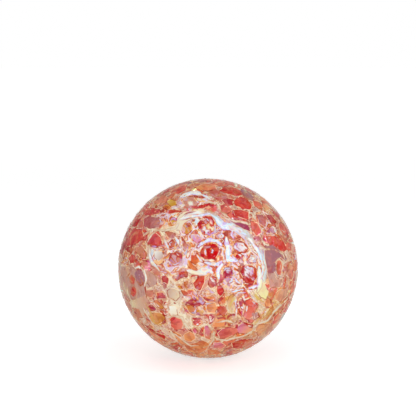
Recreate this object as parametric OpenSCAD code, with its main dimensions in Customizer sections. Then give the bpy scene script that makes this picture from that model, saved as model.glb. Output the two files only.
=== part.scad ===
// A round glass marble: a gob of base glass with angular chips of coloured glass fused into its skin.
// Every chip is a flat-topped piece with straight sides that fills a pocket of its own in the gob.

/* [Ball] */
// Diameter over the corners of the chips
ball_d = 35; // [32:0.5:42]
// Angle by which the show face looks up from level
face_tilt = 12; // [0:1:30]

/* [Chips] */
// Height of the chips' corners above the base glass
chip_rise = 0.2; // [0.16:0.02:0.4]
// Depth of the pockets below the base glass
chip_sink = 0.5; // [0.35:0.05:0.7]
// Narrowest strip of base glass between the feet of two neighbours
vein = 0.12; // [0.1:0.01:0.3]
// Largest width that a chip gives up on each side to the base glass around it
halo = 0.3; // [0:0.02:0.4]
// Gap between the two halves of a snapped chip
crack = 0.1; // [0.08:0.01:0.2]
// Largest angle by which a chip leans
lean = 1.5; // [0:0.25:2]
// Width of the flat chip that the ball rests on
rest_w = 3.4; // [2.8:0.1:4]

/* [Scatter] */
// Number of places that are spread over the whole ball, before the set places push some aside
scatter_count = 760; // [300:10:800]
// Share of the scattered chips that are snapped in two
snapped = 0.34; // [0:0.02:0.6]
// Share of the scattered chips that have lost a corner
chipped = 0.3; // [0:0.02:0.8]
// Share of the scattered places that stay bare
bare_share = 0.05; // [0:0.01:0.2]
// Seed that picks the scatter
scatter_seed = 7; // [1:1:40]

/* [Hidden] */

ball_r = ball_d / 2;
base_r = ball_r - chip_rise;
chip_h = chip_rise + chip_sink;

// Mean spacing of the scattered places
grain = ball_r * sqrt(4 * PI / 0.866 / scatter_count);

// Colours of the chips, and the share of each at the top and at the bottom of the ball
colours = ["coral", "red", "orange", "amber", "rose", "clear"];
top_mix = [0.34, 0.15, 0.14, 0.05, 0.14, 0.18];
low_mix = [0.24, 0.08, 0.3, 0.18, 0.07, 0.13];

// Places set by hand on the show face: [across, up, width], all as shares of the ball's radius
coral_spots = [[-0.82, 0.34, 0.21], [-0.59, 0.31, 0.17], [-0.86, 0.08, 0.09], [-0.68, 0.63, 0.12],
  [-0.55, 0.63, 0.12], [-0.42, 0.81, 0.12], [0.17, 0.945, 0.18], [0.27, 0.855, 0.22], [0.2, 0.74, 0.13],
  [0.29, 0.57, 0.14], [0.42, 0.57, 0.14], [0.6, 0.54, 0.13], [0.53, 0.42, 0.12], [0.78, 0.29, 0.16],
  [-0.03, 0.41, 0.14], [-0.2, -0.29, 0.09], [-0.34, -0.61, 0.14], [0.14, -0.26, 0.1], [0.5, -0.42, 0.14],
  [0.48, -0.54, 0.13], [0.2, -0.71, 0.19], [0.3, -0.86, 0.14], [0.43, -0.84, 0.13], [0.78, -0.53, 0.13],
  [0.86, -0.1, 0.1], [-0.6, -0.75, 0.1], [0.08, -0.84, 0.12], [-0.32, 0.15, 0.07]];
red_spots = [[0.4, 0.74, 0.19], [0.04, 0.18, 0.2], [-0.1, -0.15, 0.16], [0.06, -0.13, 0.13],
  [-0.48, -0.12, 0.11], [0.66, 0.34, 0.11], [-0.86, 0.2, 0.08], [-0.64, -0.655, 0.08], [-0.53, -0.72, 0.09],
  [-0.2, -0.42, 0.14], [0.33, -0.63, 0.07], [-0.35, -0.85, 0.12], [0.18, -0.955, 0.13],
  [0.37, 0.12, 0.1], [-0.14, 0.665, 0.06], [-0.93, 0.3, 0.08]];
orange_spots = [[-0.74, 0.18, 0.14], [-0.68, 0.03, 0.12], [-0.42, 0.35, 0.1], [-0.42, 0.26, 0.09],
  [-0.25, 0.25, 0.08], [-0.13, 0.03, 0.13], [-0.14, 0.14, 0.07], [0.03, 0.5, 0.14], [-0.12, 0.94, 0.15],
  [0.02, 0.89, 0.15], [0.55, 0.72, 0.14], [0.65, 0.67, 0.1], [-0.55, 0.77, 0.13], [-0.66, -0.29, 0.13],
  [-0.28, -0.27, 0.08], [0.02, -0.44, 0.13], [0.17, -0.5, 0.12], [0.4, -0.7, 0.14], [0.6, -0.65, 0.15],
  [-0.04, -0.7, 0.14], [-0.13, -0.87, 0.15], [-0.02, -0.92, 0.15], [0.78, -0.29, 0.15], [0.05, 0.02, 0.09],
  [0.92, 0.35, 0.08], [0.94, 0.08, 0.08], [-0.46, 0.13, 0.08]];
amber_spots = [[-0.4, 0.5, 0.09], [-0.24, 0.45, 0.09], [-0.43, 0.72, 0.12], [-0.51, -0.42, 0.13],
  [-0.56, -0.56, 0.17], [-0.19, -0.77, 0.15], [-0.12, -0.5, 0.1], [0.65, -0.38, 0.09], [0.65, -0.5, 0.1],
  [0.79, 0.03, 0.1]];
rose_spots = [[-0.14, 0.34, 0.14], [-0.36, 0.06, 0.16], [0.23, -0.05, 0.12], [0.31, -0.13, 0.11],
  [-0.77, -0.1, 0.15], [0.385, -0.41, 0.11], [-0.63, -0.43, 0.09], [-0.3, 0.91, 0.13], [-0.07, -0.36, 0.1],
  [-0.13, -0.69, 0.07]];
clear_spots = [[-0.66, 0.49, 0.14], [-0.54, 0.5, 0.12], [-0.18, 0.75, 0.18], [0.29, 0.38, 0.15],
  [0.13, 0.36, 0.1], [0.37, 0.23, 0.14], [0.48, 0.1, 0.08], [0.45, -0.07, 0.18], [-0.55, 0.13, 0.12],
  [-0.34, 0.26, 0.07], [0.7, 0.43, 0.12], [-0.83, -0.27, 0.1], [-0.43, -0.79, 0.12], [0.06, 0.78, 0.1],
  [0, -0.56, 0.11]];
bare_spots = [[0.7, 0.15, 0.12], [0.68, 0.04, 0.12], [0.8, 0.15, 0.08], [0.66, -0.1, 0.1], [0.74, -0.15, 0.1],
  [-0.95, -0.05, 0.1], [-0.9, -0.15, 0.08], [-0.66, -0.16, 0.09], [-0.74, -0.38, 0.11], [-0.38, -0.28, 0.14],
  [-0.38, -0.45, 0.12], [-0.02, -0.04, 0.07], [0.21, 0.28, 0.05], [0.2, 0.16, 0.05], [-0.47, 0.43, 0.08],
  [-0.36, 0.43, 0.07], [-0.3, 0.52, 0.07], [-0.21, 0.57, 0.07], [-0.1, 0.585, 0.06], [0.02, 0.605, 0.05],
  [0.1, 0.56, 0.05], [0.16, 0.48, 0.06], [0.26, 0.47, 0.05], [0.36, 0.44, 0.05], [0.43, 0.36, 0.06],
  [0.5, 0.27, 0.07], [0.57, 0.17, 0.06], [0.6, 0.06, 0.06], [0.61, -0.05, 0.06], [0.58, -0.16, 0.08],
  [0.54, -0.26, 0.08], [0.45, -0.24, 0.05], [0.35, -0.25, 0.06], [0.26, -0.36, 0.1], [0.27, -0.47, 0.08],
  [0.6, -0.32, 0.08]];

function unit(v) = v / norm(v);
// Two unit vectors that lie in the ball's surface at the direction p
function east(p) = unit(abs(p[2]) < 0.9 ? cross([0, 0, 1], p) : cross([1, 0, 0], p));
function north(p) = cross(p, east(p));

// Direction of a place on the show face, which looks towards -Y and up by face_tilt. From this many ball
// diameters away the middle of the face looks larger than its rim, so places are drawn in towards it.
seen_from = 6.4;
function facing(s) =
  let(near = 1 - sqrt(1 - s[0] * s[0] - s[1] * s[1]) / seen_from / 2, a = near * s[0], b = near * s[1],
    out = sqrt(1 - a * a - b * b))
  [a, b * sin(face_tilt) - out * cos(face_tilt), b * cos(face_tilt) + out * sin(face_tilt)];
function places(spots, kind) =
  [for (s = spots) [facing(s), 0.5 * s[2] * ball_r, kind, 0.66 * s[2] * ball_r]];

// Every place is [direction, radius of its pull on the neighbours, kind, radius of the chip's blank]
set_places = concat(
  [[[0, 0, -1], 0.6 * rest_w, "rest", 0.6 * rest_w]],
  places(coral_spots, "coral"), places(red_spots, "red"), places(orange_spots, "orange"),
  places(amber_spots, "amber"), places(rose_spots, "rose"), places(clear_spots, "clear"),
  places(bare_spots, "bare"));

// Picks an entry of a list of shares by a number from 0 to 1
function pick(shares, x, k = 0) =
  k == len(shares) - 1 || x < shares[k] ? k : pick(shares, x - shares[k], k + 1);

// The scatter is a spiral of even spacing, with every place shaken by a share of that spacing
golden = 180 * (3 - sqrt(5));
shake = rands(-0.38, 0.38, 2 * scatter_count, scatter_seed);
size = rands(0.15, 0.95, scatter_count, scatter_seed + 1);
chance = rands(0, 1, 2 * scatter_count, scatter_seed + 2);
slack = rands(1, 1.5, scatter_count, scatter_seed + 5);
function scattered(i) =
  let(z = 1 - (2 * i + 1) / scatter_count, w = sqrt(1 - z * z), a = i * golden,
    p = [w * cos(a), w * sin(a), z])
  unit(p + (east(p) * shake[2 * i] + north(p) * shake[2 * i + 1]) * grain / ball_r);
function scattered_kind(i, z) =
  size[i] < 0.3 ? "grit"
  : chance[2 * i] < bare_share ? "bare"
  : colours[pick((top_mix * (1 + z) + low_mix * (1 - z)) / 2, chance[2 * i + 1])];
free_places = [for (i = [0:scatter_count - 1])
  let(p = scattered(i), room = min([for (s = set_places) norm(p - s[0]) * ball_r - s[1]]))
  if (room > 0.3 * size[i] * grain)
  [p, size[i] * grain, scattered_kind(i, p[2]), (slack[i] * size[i] + 0.25) * grain]];

all_places = concat(set_places, free_places);
count = len(all_places);
pull = [for (s = all_places) cos(s[1] / ball_r * 180 / PI)];
pared = [for (x = rands(0, 1, count, scatter_seed + 9)) halo * x * x];
turn = rands(0, 180, count, scatter_seed + 3);
stretch = rands(0.85, 1.25, count, scatter_seed + 4);
tip = rands(-lean, lean, 2 * count, scatter_seed + 6);
snap = rands(0, 1, count, scatter_seed + 7);
lose = rands(0, 1, count, scatter_seed + 8);

// Part of an outline on the side of a line where a + b * x + c * y is positive
function clip(pts, a, b, c) = [for (i = [0:len(pts) - 1])
  let(p = pts[i], q = pts[(i + 1) % len(pts)],
    dp = a + b * p[0] + c * p[1], dq = a + b * q[0] + c * q[1])
  each concat(dp >= 0 ? [p] : [], dp * dq < 0 ? [p + (q - p) * dp / (dp - dq)] : [])];
function clip_all(pts, lines, k = 0) = k >= len(lines) || len(pts) < 3 ? pts
  : clip_all(clip(pts, lines[k][0], lines[k][1], lines[k][2]), lines, k + 1);
// The outline without the corners that lie closer than this to the next one
shortest_edge = 0.1;
function no_stubs(pts) = [for (i = [0:len(pts) - 1])
  if (norm(pts[i] - pts[(i + 1) % len(pts)]) > shortest_edge / ball_r) pts[i]];
function area(pts) = len(pts) < 3 ? 0
  : sum([for (i = [0:len(pts) - 1]) cross(pts[i], pts[(i + 1) % len(pts)])]) / 2 * ball_r * ball_r;
function sum(list) = [for (x = list) 1] * list;

// Outlines lie in a plane one unit from the ball's centre, so a size there is a share of ball_r
function blank(i) =
  let(sides = 6 + i % 3, r = all_places[i][3] / ball_r)
  [for (k = [0:sides - 1]) let(t = 360 * k / sides, x = cos(t) * stretch[i], y = sin(t) / stretch[i])
    r * [x * cos(turn[i]) - y * sin(turn[i]), x * sin(turn[i]) + y * cos(turn[i])]];
// Each neighbour trims the blank so that at least vein is left between the feet of the two
function trims(i) =
  let(p = all_places[i][0], u = east(p), v = north(p), near = cos(2.6 * grain / ball_r * 180 / PI))
  [for (j = [0:count - 1]) if (j != i && all_places[j][0] * p > near)
    let(q = all_places[j][0], a = 1 / pull[i] - q * p / pull[j],
      b = -q * u / pull[j], c = -q * v / pull[j],
      inset = norm([b, c]) * (vein / 2 + pared[i] + chip_h * sin(lean)) / ball_r)
    [a * (1 - chip_h / ball_r) - inset, b, c]];
// A lost corner is one more trim, across the blank's outer part
function lost_corner(i) = i < len(set_places) || lose[i] > chipped ? []
  : [[0.45 * all_places[i][3] / ball_r, cos(3 * turn[i]), sin(3 * turn[i])]];
// Pieces of an outline with less area than a square of this width are left out
smallest_w = 0.5;
outlines = [for (i = [0:count - 1])
  let(pts = all_places[i][2] == "bare" ? []
    : no_stubs(clip_all(blank(i), concat(trims(i), lost_corner(i)))))
  area(pts) > smallest_w * smallest_w ? pts : []];

// Sets its children upright on the top plane of chip i, whose corners reach the ball's full size
module on_chip(i) {
  p = all_places[i][0];
  u = east(p);
  v = north(p);
  rests = all_places[i][2] == "rest";
  rho = max([for (q = outlines[i]) norm(q)]) * ball_r;
  top = rests ? ball_r : sqrt(ball_r * ball_r - rho * rho) - rho * sin(lean);
  multmatrix([[u[0], v[0], p[0], p[0] * top], [u[1], v[1], p[1], p[1] * top],
    [u[2], v[2], p[2], p[2] * top], [0, 0, 0, 1]])
    rotate(rests ? 0 : [tip[2 * i], tip[2 * i + 1], 0]) children();
}

module pockets() {
  above = 1;
  for (i = [0:count - 1]) if (len(outlines[i]) > 2)
    on_chip(i) translate([0, 0, -chip_h]) linear_extrude(chip_h + above) polygon(outlines[i] * ball_r);
}

// One side of a snapped chip, which breaks across the middle of its outline
function half(i, side) =
  let(pts = outlines[i], mid = sum(pts) / len(pts), b = side * cos(turn[i]), c = side * sin(turn[i]))
  no_stubs(clip(pts, -mid * [b, c] - crack / 2 / ball_r, b, c));

module chip(i) {
  halves = [for (side = [-1, 1]) half(i, side)];
  crumbs = min([for (h = halves) area(h)]) < smallest_w * smallest_w;
  whole = all_places[i][2] == "rest" || snap[i] > snapped || crumbs;
  for (pts = whole ? [outlines[i]] : halves)
    on_chip(i) translate([0, 0, -chip_h]) linear_extrude(chip_h) polygon(pts * ball_r);
}

module chips_of(kind) {
  for (i = [0:count - 1]) if (all_places[i][2] == kind && len(outlines[i]) > 2) chip(i);
}

module base_gob() color("rosybrown") difference() {
  sphere(r = base_r, $fn = 144);
  pockets();
}

module resting_chip() color("indianred") chips_of("rest");
module coral_chips() color("salmon") chips_of("coral");
module red_chips() color("crimson") chips_of("red");
module orange_chips() color("sandybrown") chips_of("orange");
module amber_chips() color("goldenrod") chips_of("amber");
module rose_chips() color("palevioletred") chips_of("rose");
module clear_chips() color("lavenderblush") chips_of("clear");
module fine_grit() color("tomato") chips_of("grit");

base_gob();
resting_chip();
coral_chips();
red_chips();
orange_chips();
amber_chips();
rose_chips();
clear_chips();
fine_grit();
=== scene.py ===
import math
import random

import bmesh
import bpy
import numpy as np
from mathutils import Matrix, Vector, noise
from mathutils.bvhtree import BVHTree


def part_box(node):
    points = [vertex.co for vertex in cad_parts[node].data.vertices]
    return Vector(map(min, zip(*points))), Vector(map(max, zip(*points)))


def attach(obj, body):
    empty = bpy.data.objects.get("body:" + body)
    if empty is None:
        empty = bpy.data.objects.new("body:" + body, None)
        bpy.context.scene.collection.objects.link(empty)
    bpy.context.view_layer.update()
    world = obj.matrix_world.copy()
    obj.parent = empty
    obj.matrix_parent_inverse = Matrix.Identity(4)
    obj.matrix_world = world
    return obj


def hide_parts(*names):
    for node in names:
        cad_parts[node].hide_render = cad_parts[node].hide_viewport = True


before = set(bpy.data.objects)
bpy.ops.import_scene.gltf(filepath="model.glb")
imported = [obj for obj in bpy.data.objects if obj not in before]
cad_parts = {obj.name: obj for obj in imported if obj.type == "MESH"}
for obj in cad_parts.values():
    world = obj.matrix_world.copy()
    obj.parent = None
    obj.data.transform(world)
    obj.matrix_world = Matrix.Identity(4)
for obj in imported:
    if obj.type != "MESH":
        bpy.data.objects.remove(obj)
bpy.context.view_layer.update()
random.seed(11)
mm = 0.001  # metres in a millimetre


def deselectAll():
    if bpy.context.object and bpy.context.object.mode != "OBJECT":
        bpy.ops.object.mode_set(mode="OBJECT")
    bpy.ops.object.select_all(action="DESELECT")


def makeActive(piece):
    deselectAll()
    piece.select_set(True)
    bpy.context.view_layer.objects.active = piece


def addObject(name, data):
    thing = bpy.data.objects.new(name, data)
    bpy.context.scene.collection.objects.link(thing)
    return thing


def applyModifier(piece, kind, **values):
    makeActive(piece)
    modifier = piece.modifiers.new(kind.title(), kind)
    for key, value in values.items():
        setattr(modifier, key, value)
    bpy.ops.object.modifier_apply(modifier=modifier.name)


def readPoints(mesh):
    co = np.empty(len(mesh.vertices) * 3)
    mesh.vertices.foreach_get("co", co)
    return co.reshape(-1, 3)


def writePoints(mesh, co):
    mesh.vertices.foreach_set("co", co.ravel())
    mesh.update()


def writeValues(mesh, name, values):
    layer = mesh.attributes.get(name) or mesh.attributes.new(name, "FLOAT", "POINT")
    layer.data.foreach_set("value", np.asarray(values, dtype=np.float32))


def readValues(mesh, name):
    values = np.empty(len(mesh.vertices), dtype=np.float32)
    mesh.attributes[name].data.foreach_get("value", values)
    return values


def noiseAt(co, size, seed):
    shift = Vector((seed, seed * 1.7, seed * 0.3))
    return np.array([noise.noise(Vector(p) / size + shift) for p in co])


def unit(co):
    return co / np.linalg.norm(co, axis=1)[:, None]


def randomVector():
    return Vector((random.gauss(0, 1), random.gauss(0, 1), random.gauss(0, 1)))


# the ball's sizes come from the frame
ballRadius = -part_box("resting_chip")[0][2]
baseRadius = max(p.co.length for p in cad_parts["base_gob"].data.vertices)
print("ball radius", round(ballRadius / mm, 3), "base radius", round(baseRadius / mm, 3))

view = {
    "lens": 100,
    "sensor": 36,
    "picture": 416,  # pixels along the picture's side
    "ballDown": 268,  # pixels from the picture's top to the ball's centre
    "ballSpan": 90,  # pixels, of the ball's radius
    "elevation": math.radians(12),
}
tanHalf = view["sensor"] / view["lens"] / 2


def cameraReach():
    # from the ball's centre to the camera
    reach = ballRadius / (view["ballSpan"] / (view["picture"] / 2) * tanHalf)
    return math.hypot(reach, ballRadius)


def facing(across, up):
    # direction of a place on the show face, given in shares of the ball's radius as the camera shows it
    near = 1 - math.sqrt(1 - across ** 2 - up ** 2) * ballRadius / cameraReach()
    a = near * across
    b = near * up
    out = math.sqrt(1 - a ** 2 - b ** 2)
    tilt = view["elevation"]
    return Vector((a, b * math.sin(tilt) - out * math.cos(tilt), b * math.cos(tilt) + out * math.sin(tilt)))


showFace = facing(0, 0)  # direction of its middle

chip = {
    "merge": 0.002 * mm,
    "flat": math.radians(0.5),  # faces that turn less than this become one
    "level": 0.9,  # a face is a chip's top where its normal points out of the ball at least this well ...
    "topDepth": 0.3 * mm,  # ... and it lies at most this far below the base glass
    "spread": (0.04 * mm, 0.36 * mm),  # how far a chip has melted out over the gap beside it
    "spreadShare": 0.25,  # the most of its own reach that it has melted out
    "shoulder": 0.05 * mm,  # depth of the border below the outer edge of the bevel
    "bevels": [0.08, 0.12, 0.2],  # the bevel's share of a chip's width, each for a third of the chips
    "slope": 0.02 * mm,  # how far the bevel's outer edge lies below the flat top
    "corners": [0.9, 0.6, 0.4, 0.2],  # how sharp the corners stay, each for a quarter of the chips
    "border": 0.5,  # how sharp the top's border is
    "creases": 0.25,  # how sharp the edges inside a top are
    "foot": 0.8,  # how sharp the edges down in the base glass are
    "broken": (0.7, 1),  # how strongly a shattered chip is shattered
    "crystal": 0.09 * mm,  # how high and low the points of a shattered top stand
    "facets": 0.35,  # how much the tones of the bevels' faces differ
    "dome": 0.7,  # how far a flat top swells towards the ball's round outline
    "domeWidth": 0.25,  # millimetres from the border to the full swell
    "spare": 0.02 * mm,  # how far the swell stays inside the ball's outline
    "dent": 0.02 * mm,
    "dentSize": 1.3 * mm,
    "wave": 0.13 * mm,  # how far the outlines wander to and fro
    "waveSize": 1.1 * mm,
    "buried": 0.1 * mm,  # faces this far under the base glass are thinned out
    "kept": 0.25,  # share of them that stays
    "largest": 0.02 * mm ** 2,  # tops on the show face with larger faces are divided again
}


def copyChips(node, name):
    piece = addObject(name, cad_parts[node].data.copy())
    makeActive(piece)
    piece.data.materials.clear()
    bpy.ops.object.mode_set(mode="EDIT")
    bpy.ops.mesh.select_all(action="SELECT")
    bpy.ops.mesh.remove_doubles(threshold=chip["merge"])
    bpy.ops.mesh.dissolve_limited(angle_limit=chip["flat"])
    bpy.ops.mesh.select_all(action="DESELECT")
    return piece


def numberChips(bm):
    number = bm.verts.layers.float.new("chipNumber")
    seen = set()
    count = 0
    for start in bm.verts:
        if start in seen:
            continue
        seen.add(start)
        todo = [start]
        while todo:
            vert = todo.pop()
            vert[number] = count
            for edge in vert.link_edges:
                other = edge.other_vert(vert)
                if other not in seen:
                    seen.add(other)
                    todo.append(other)
        count += 1
    return number, count


def openMesh(mesh):
    # a mesh in edit mode, with the layer that holds the chips' numbers
    bm = bmesh.from_edit_mesh(mesh)
    return bm, bm.verts.layers.float.get("chipNumber")


def isTop(face):
    middle = face.calc_center_median()
    high = middle.length > baseRadius - chip["topDepth"]
    return high and face.normal.dot(middle.normalized()) > chip["level"]


def selectTops(mesh, middles, wanted):
    # each chip's top is the upward face nearest to its middle; the open mesh keeps the faces valid
    bm, number = openMesh(mesh)
    tops = {}
    for face in bm.faces:
        face.select_set(False)
        if isTop(face):
            k = round(face.verts[0][number])
            away = (face.calc_center_median() - middles[k]).length
            if k not in tops or away < tops[k][0]:
                tops[k] = (away, face)
    chosen = [face for k, (away, face) in tops.items() if wanted[k]]
    for face in chosen:
        face.select_set(True)
    return bm, chosen


def selectFaces(mesh, wanted):
    bpy.ops.object.mode_set(mode="EDIT")
    bpy.ops.mesh.select_all(action="DESELECT")
    bm = bmesh.from_edit_mesh(mesh)
    for face in bm.faces:
        face.select_set(wanted(face))
    bmesh.update_edit_mesh(mesh)


def distanceToOutline(point, outline):
    best = 1.0
    for k, a in enumerate(outline):
        side = outline[(k + 1) % len(outline)] - a
        share = max(0.0, min(1.0, (point - a).dot(side) / side.length_squared))
        best = min(best, (point - a - side * share).length)
    return best


def chipSides(co, number, directions):
    # for each point, how far across its own chip it lies, from -1 to 1, along the direction that chip's
    # painted light comes from
    sides = np.zeros(len(co))
    order = np.argsort(number, kind="stable")
    starts = np.searchsorted(number[order], np.arange(len(directions) + 1))
    for k, turn in enumerate(directions):
        own = order[starts[k]:starts[k + 1]]
        points = co[own]
        middle = points.mean(axis=0)
        up = middle / np.linalg.norm(middle)
        east = np.cross((0, 0, 1), up)
        east = east / max(np.linalg.norm(east), 1e-9) if abs(up[2]) < 0.999 else np.array((1.0, 0, 0))
        north = np.cross(up, east)
        flat = points - middle
        flat = flat - np.outer(flat @ up, up)
        reach = np.linalg.norm(flat, axis=1).max()
        sides[own] = flat @ (east * math.cos(turn) + north * math.sin(turn)) / reach
    return sides


def thinOut(piece):
    # the sides that lie under the base glass keep only some of their faces
    deep = baseRadius - chip["buried"]
    selectFaces(piece.data, lambda face: all(v.co.length < deep for v in face.verts))
    bpy.ops.mesh.decimate(ratio=chip["kept"])
    bpy.ops.object.mode_set(mode="OBJECT")


def refine(piece):
    # the tops on the show face get four faces for each one, so that thin painted lines stay clean
    def wanted(face):
        middle = face.calc_center_median()
        top = middle.length > baseRadius and face.normal.dot(middle.normalized()) > 0.5
        return top and middle.normalized().dot(showFace) > 0.1 and face.calc_area() > chip["largest"]
    selectFaces(piece.data, wanted)
    bpy.ops.mesh.subdivide(number_cuts=1, smoothness=0)
    bpy.ops.object.mode_set(mode="OBJECT")


def meltOut(bm, number, count):
    # every top spreads and sinks to the foot of its border; gives the outlines of the bevels
    outlines = [[] for k in range(count)]
    for face in bm.faces:
        if isTop(face):
            middle = face.calc_center_median()
            reach = max((v.co - middle).length for v in face.verts)
            grow = 1 + min(random.uniform(*chip["spread"]), chip["spreadShare"] * reach) / reach
            drop = face.normal * (chip["shoulder"] + chip["slope"])
            for vert in face.verts:
                vert.co = middle + (vert.co - middle) * grow - drop
            rise = face.normal * chip["shoulder"]
            outlines[round(face.verts[0][number])] = [v.co + rise for v in face.verts]
            face.select_set(True)
    return outlines


def bevelTops(mesh, middles, widths):
    # bevels in three widths, and a point in the middle of each top
    for group, share in enumerate(chip["bevels"]):
        selectTops(mesh, middles, [width == group for width in widths])
        bmesh.update_edit_mesh(mesh)
        bpy.ops.mesh.inset(use_individual=True, use_relative_offset=True, thickness=share)
    bm, tops = selectTops(mesh, middles, [True] * len(middles))
    for face in tops:
        for vert in face.verts:
            vert.co += face.normal * chip["slope"]
    bmesh.update_edit_mesh(mesh)
    bpy.ops.mesh.poke()


def shatterTops(mesh, outlines, broken):
    # shattered tops get a second point in every face, some high and some low; gives the points inside bevels
    bm, number = openMesh(mesh)
    bm.verts.index_update()
    inner = {v.index for v in bm.verts if v.select}
    for face in bm.faces:
        face.select_set(face.select and broken[round(face.verts[0][number])] > 0)
    bmesh.update_edit_mesh(mesh)
    bpy.ops.mesh.poke()
    bm, number = openMesh(mesh)
    bm.verts.index_update()
    inner |= {v.index for v in bm.verts if v.select}
    edgeLayer = bm.verts.layers.float.get("edge")
    for vert in bm.verts:
        k = round(vert[number])
        vert[edgeLayer] = distanceToOutline(vert.co, outlines[k]) / mm if vert.index in inner else 0
        if vert.index in inner and broken[k]:
            lift = chip["dome"] * (ballRadius - vert.co.length) + random.uniform(-1, 0.4) * chip["crystal"]
            vert.co += vert.co.normalized() * lift
    return inner


def sharpenEdges(mesh, inner, broken, corners):
    bm, number = openMesh(mesh)
    crease = bm.edges.layers.float.get("crease_edge") or bm.edges.layers.float.new("crease_edge")
    for edge in bm.edges:
        a, b = edge.verts
        k = round(a[number])
        along = (b.co - a.co).normalized()
        up = ((a.co + b.co) / 2).normalized()
        inside = (a.index in inner) + (b.index in inner)
        if inside == 2:
            edge[crease] = 1 if broken[k] else chip["creases"]
        elif inside == 1 or abs(along.dot(up)) > 0.6:
            edge[crease] = 1 if broken[k] else corners[k]
        else:
            above = min(a.co.length, b.co.length) > baseRadius
            edge[crease] = chip["border"] if above else chip["foot"]


def shadeFaces(mesh, inner, middles, broken, turns):
    # a tone for each face: the bevels get painted shade on one side of the chip and painted light on the
    # other
    bm, number = openMesh(mesh)
    facet = bm.faces.layers.float.get("facet")
    for face in bm.faces:
        k = round(face.verts[0][number])
        up = middles[k].normalized()
        east = Vector((0, 0, 1)).cross(up).normalized()
        away = face.calc_center_median() - middles[k]
        away = (away - up * away.dot(up)).normalized()
        lit = away.dot(east) * math.cos(turns[k]) + away.dot(up.cross(east)) * math.sin(turns[k])
        if all(v.index in inner for v in face.verts):
            face[facet] = random.uniform(-1, 1) * (1 if broken[k] else 0.1)
        else:
            face[facet] = lit + random.uniform(-chip["facets"], chip["facets"])
        face.smooth = not broken[k]
    bmesh.update_edit_mesh(mesh)


def swellTops(co, edge, broken, limited):
    # flat tops swell towards the ball's outline, and a chip that is round already only gets dents
    radius = np.linalg.norm(co, axis=1)
    share = np.where(broken > 0, 0, np.clip(edge / chip["domeWidth"], 0, 1))
    dents = chip["dent"] * noiseAt(co, chip["dentSize"], 3)
    lift = share * (chip["dome"] * (ballRadius - chip["spare"] - radius) + dents)
    wanted = np.minimum(radius + lift, radius if limited else ballRadius)
    return co * (wanted / radius)[:, None]


def wavePoints(co):
    waves = np.array([noiseAt(co, chip["waveSize"], seed) for seed in (2, 13, 31)]).T * chip["wave"]
    outward = unit(co)
    return co + (waves - outward * (waves * outward).sum(axis=1)[:, None])


def dressChips(node, name, shatterShare):
    piece = copyChips(node, name)
    bm = bmesh.from_edit_mesh(piece.data)
    number, count = numberChips(bm)
    bm.verts.layers.float.new("edge")
    bm.faces.layers.float.new("facet")
    outlines = meltOut(bm, number, count)
    bmesh.update_edit_mesh(piece.data)
    bpy.ops.mesh.extrude_faces_move(TRANSFORM_OT_shrink_fatten={"value": chip["shoulder"]})
    tones = [random.random() for k in range(count)]
    turns = [random.uniform(0, 2 * math.pi) for k in range(count)]
    broken = [random.uniform(*chip["broken"]) if random.random() < shatterShare else 0 for k in range(count)]
    corners = [random.choice(chip["corners"]) for k in range(count)]
    widths = [random.randrange(len(chip["bevels"])) for k in range(count)]
    middles = [sum(outline, Vector()) / len(outline) for outline in outlines]
    bevelTops(piece.data, middles, widths)
    inner = shatterTops(piece.data, outlines, broken)
    sharpenEdges(piece.data, inner, broken, corners)
    shadeFaces(piece.data, inner, middles, broken, turns)
    bpy.ops.object.mode_set(mode="OBJECT")
    applyModifier(piece, "SUBSURF", levels=2, render_levels=2)
    resting = node == "resting_chip"
    if not resting:
        thinOut(piece)
        refine(piece)
    # every chip gets a tone of its own
    co = readPoints(piece.data)
    owner = np.rint(readValues(piece.data, "chipNumber")).astype(int)
    broken = np.array(broken)[owner]
    writeValues(piece.data, "tone", np.array(tones)[owner])
    writeValues(piece.data, "shatter", broken)
    writeValues(piece.data, "side", chipSides(co, owner, turns))
    co = swellTops(co, readValues(piece.data, "edge"), broken, resting)
    writePoints(piece.data, co if resting else wavePoints(co))
    return piece


tints = {
    "tan": (208, 140, 118),
    "cream": (246, 232, 200),
    "bone": (236, 220, 196),
    "pearl": (206, 240, 244),
    "snow": (252, 250, 242),
    "shell": (252, 226, 214),
    "ice": (222, 236, 254),
    "lemon": (246, 240, 170),
    "gold": (226, 190, 96),
    "straw": (236, 216, 180),
    "lilac": (220, 180, 216),
    "rose": (198, 82, 88),
    "mauve": (166, 112, 130),
    "dusk": (176, 124, 124),
    "ash": (202, 166, 154),
    "rosewood": (198, 92, 76),
    "coral": (220, 84, 76),
    "salmon": (236, 134, 112),
    "brick": (196, 68, 56),
    "red": (208, 50, 42),
    "crimson": (184, 40, 60),
    "wine": (172, 22, 30),
    "plum": (168, 60, 92),
    "pink": (226, 130, 170),
    "blush": (216, 160, 140),
    "orange": (238, 146, 88),
    "sienna": (216, 130, 98),
    "apricot": (242, 172, 120),
    "amber": (210, 142, 58),
    "teal": (150, 180, 172),
}
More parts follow.
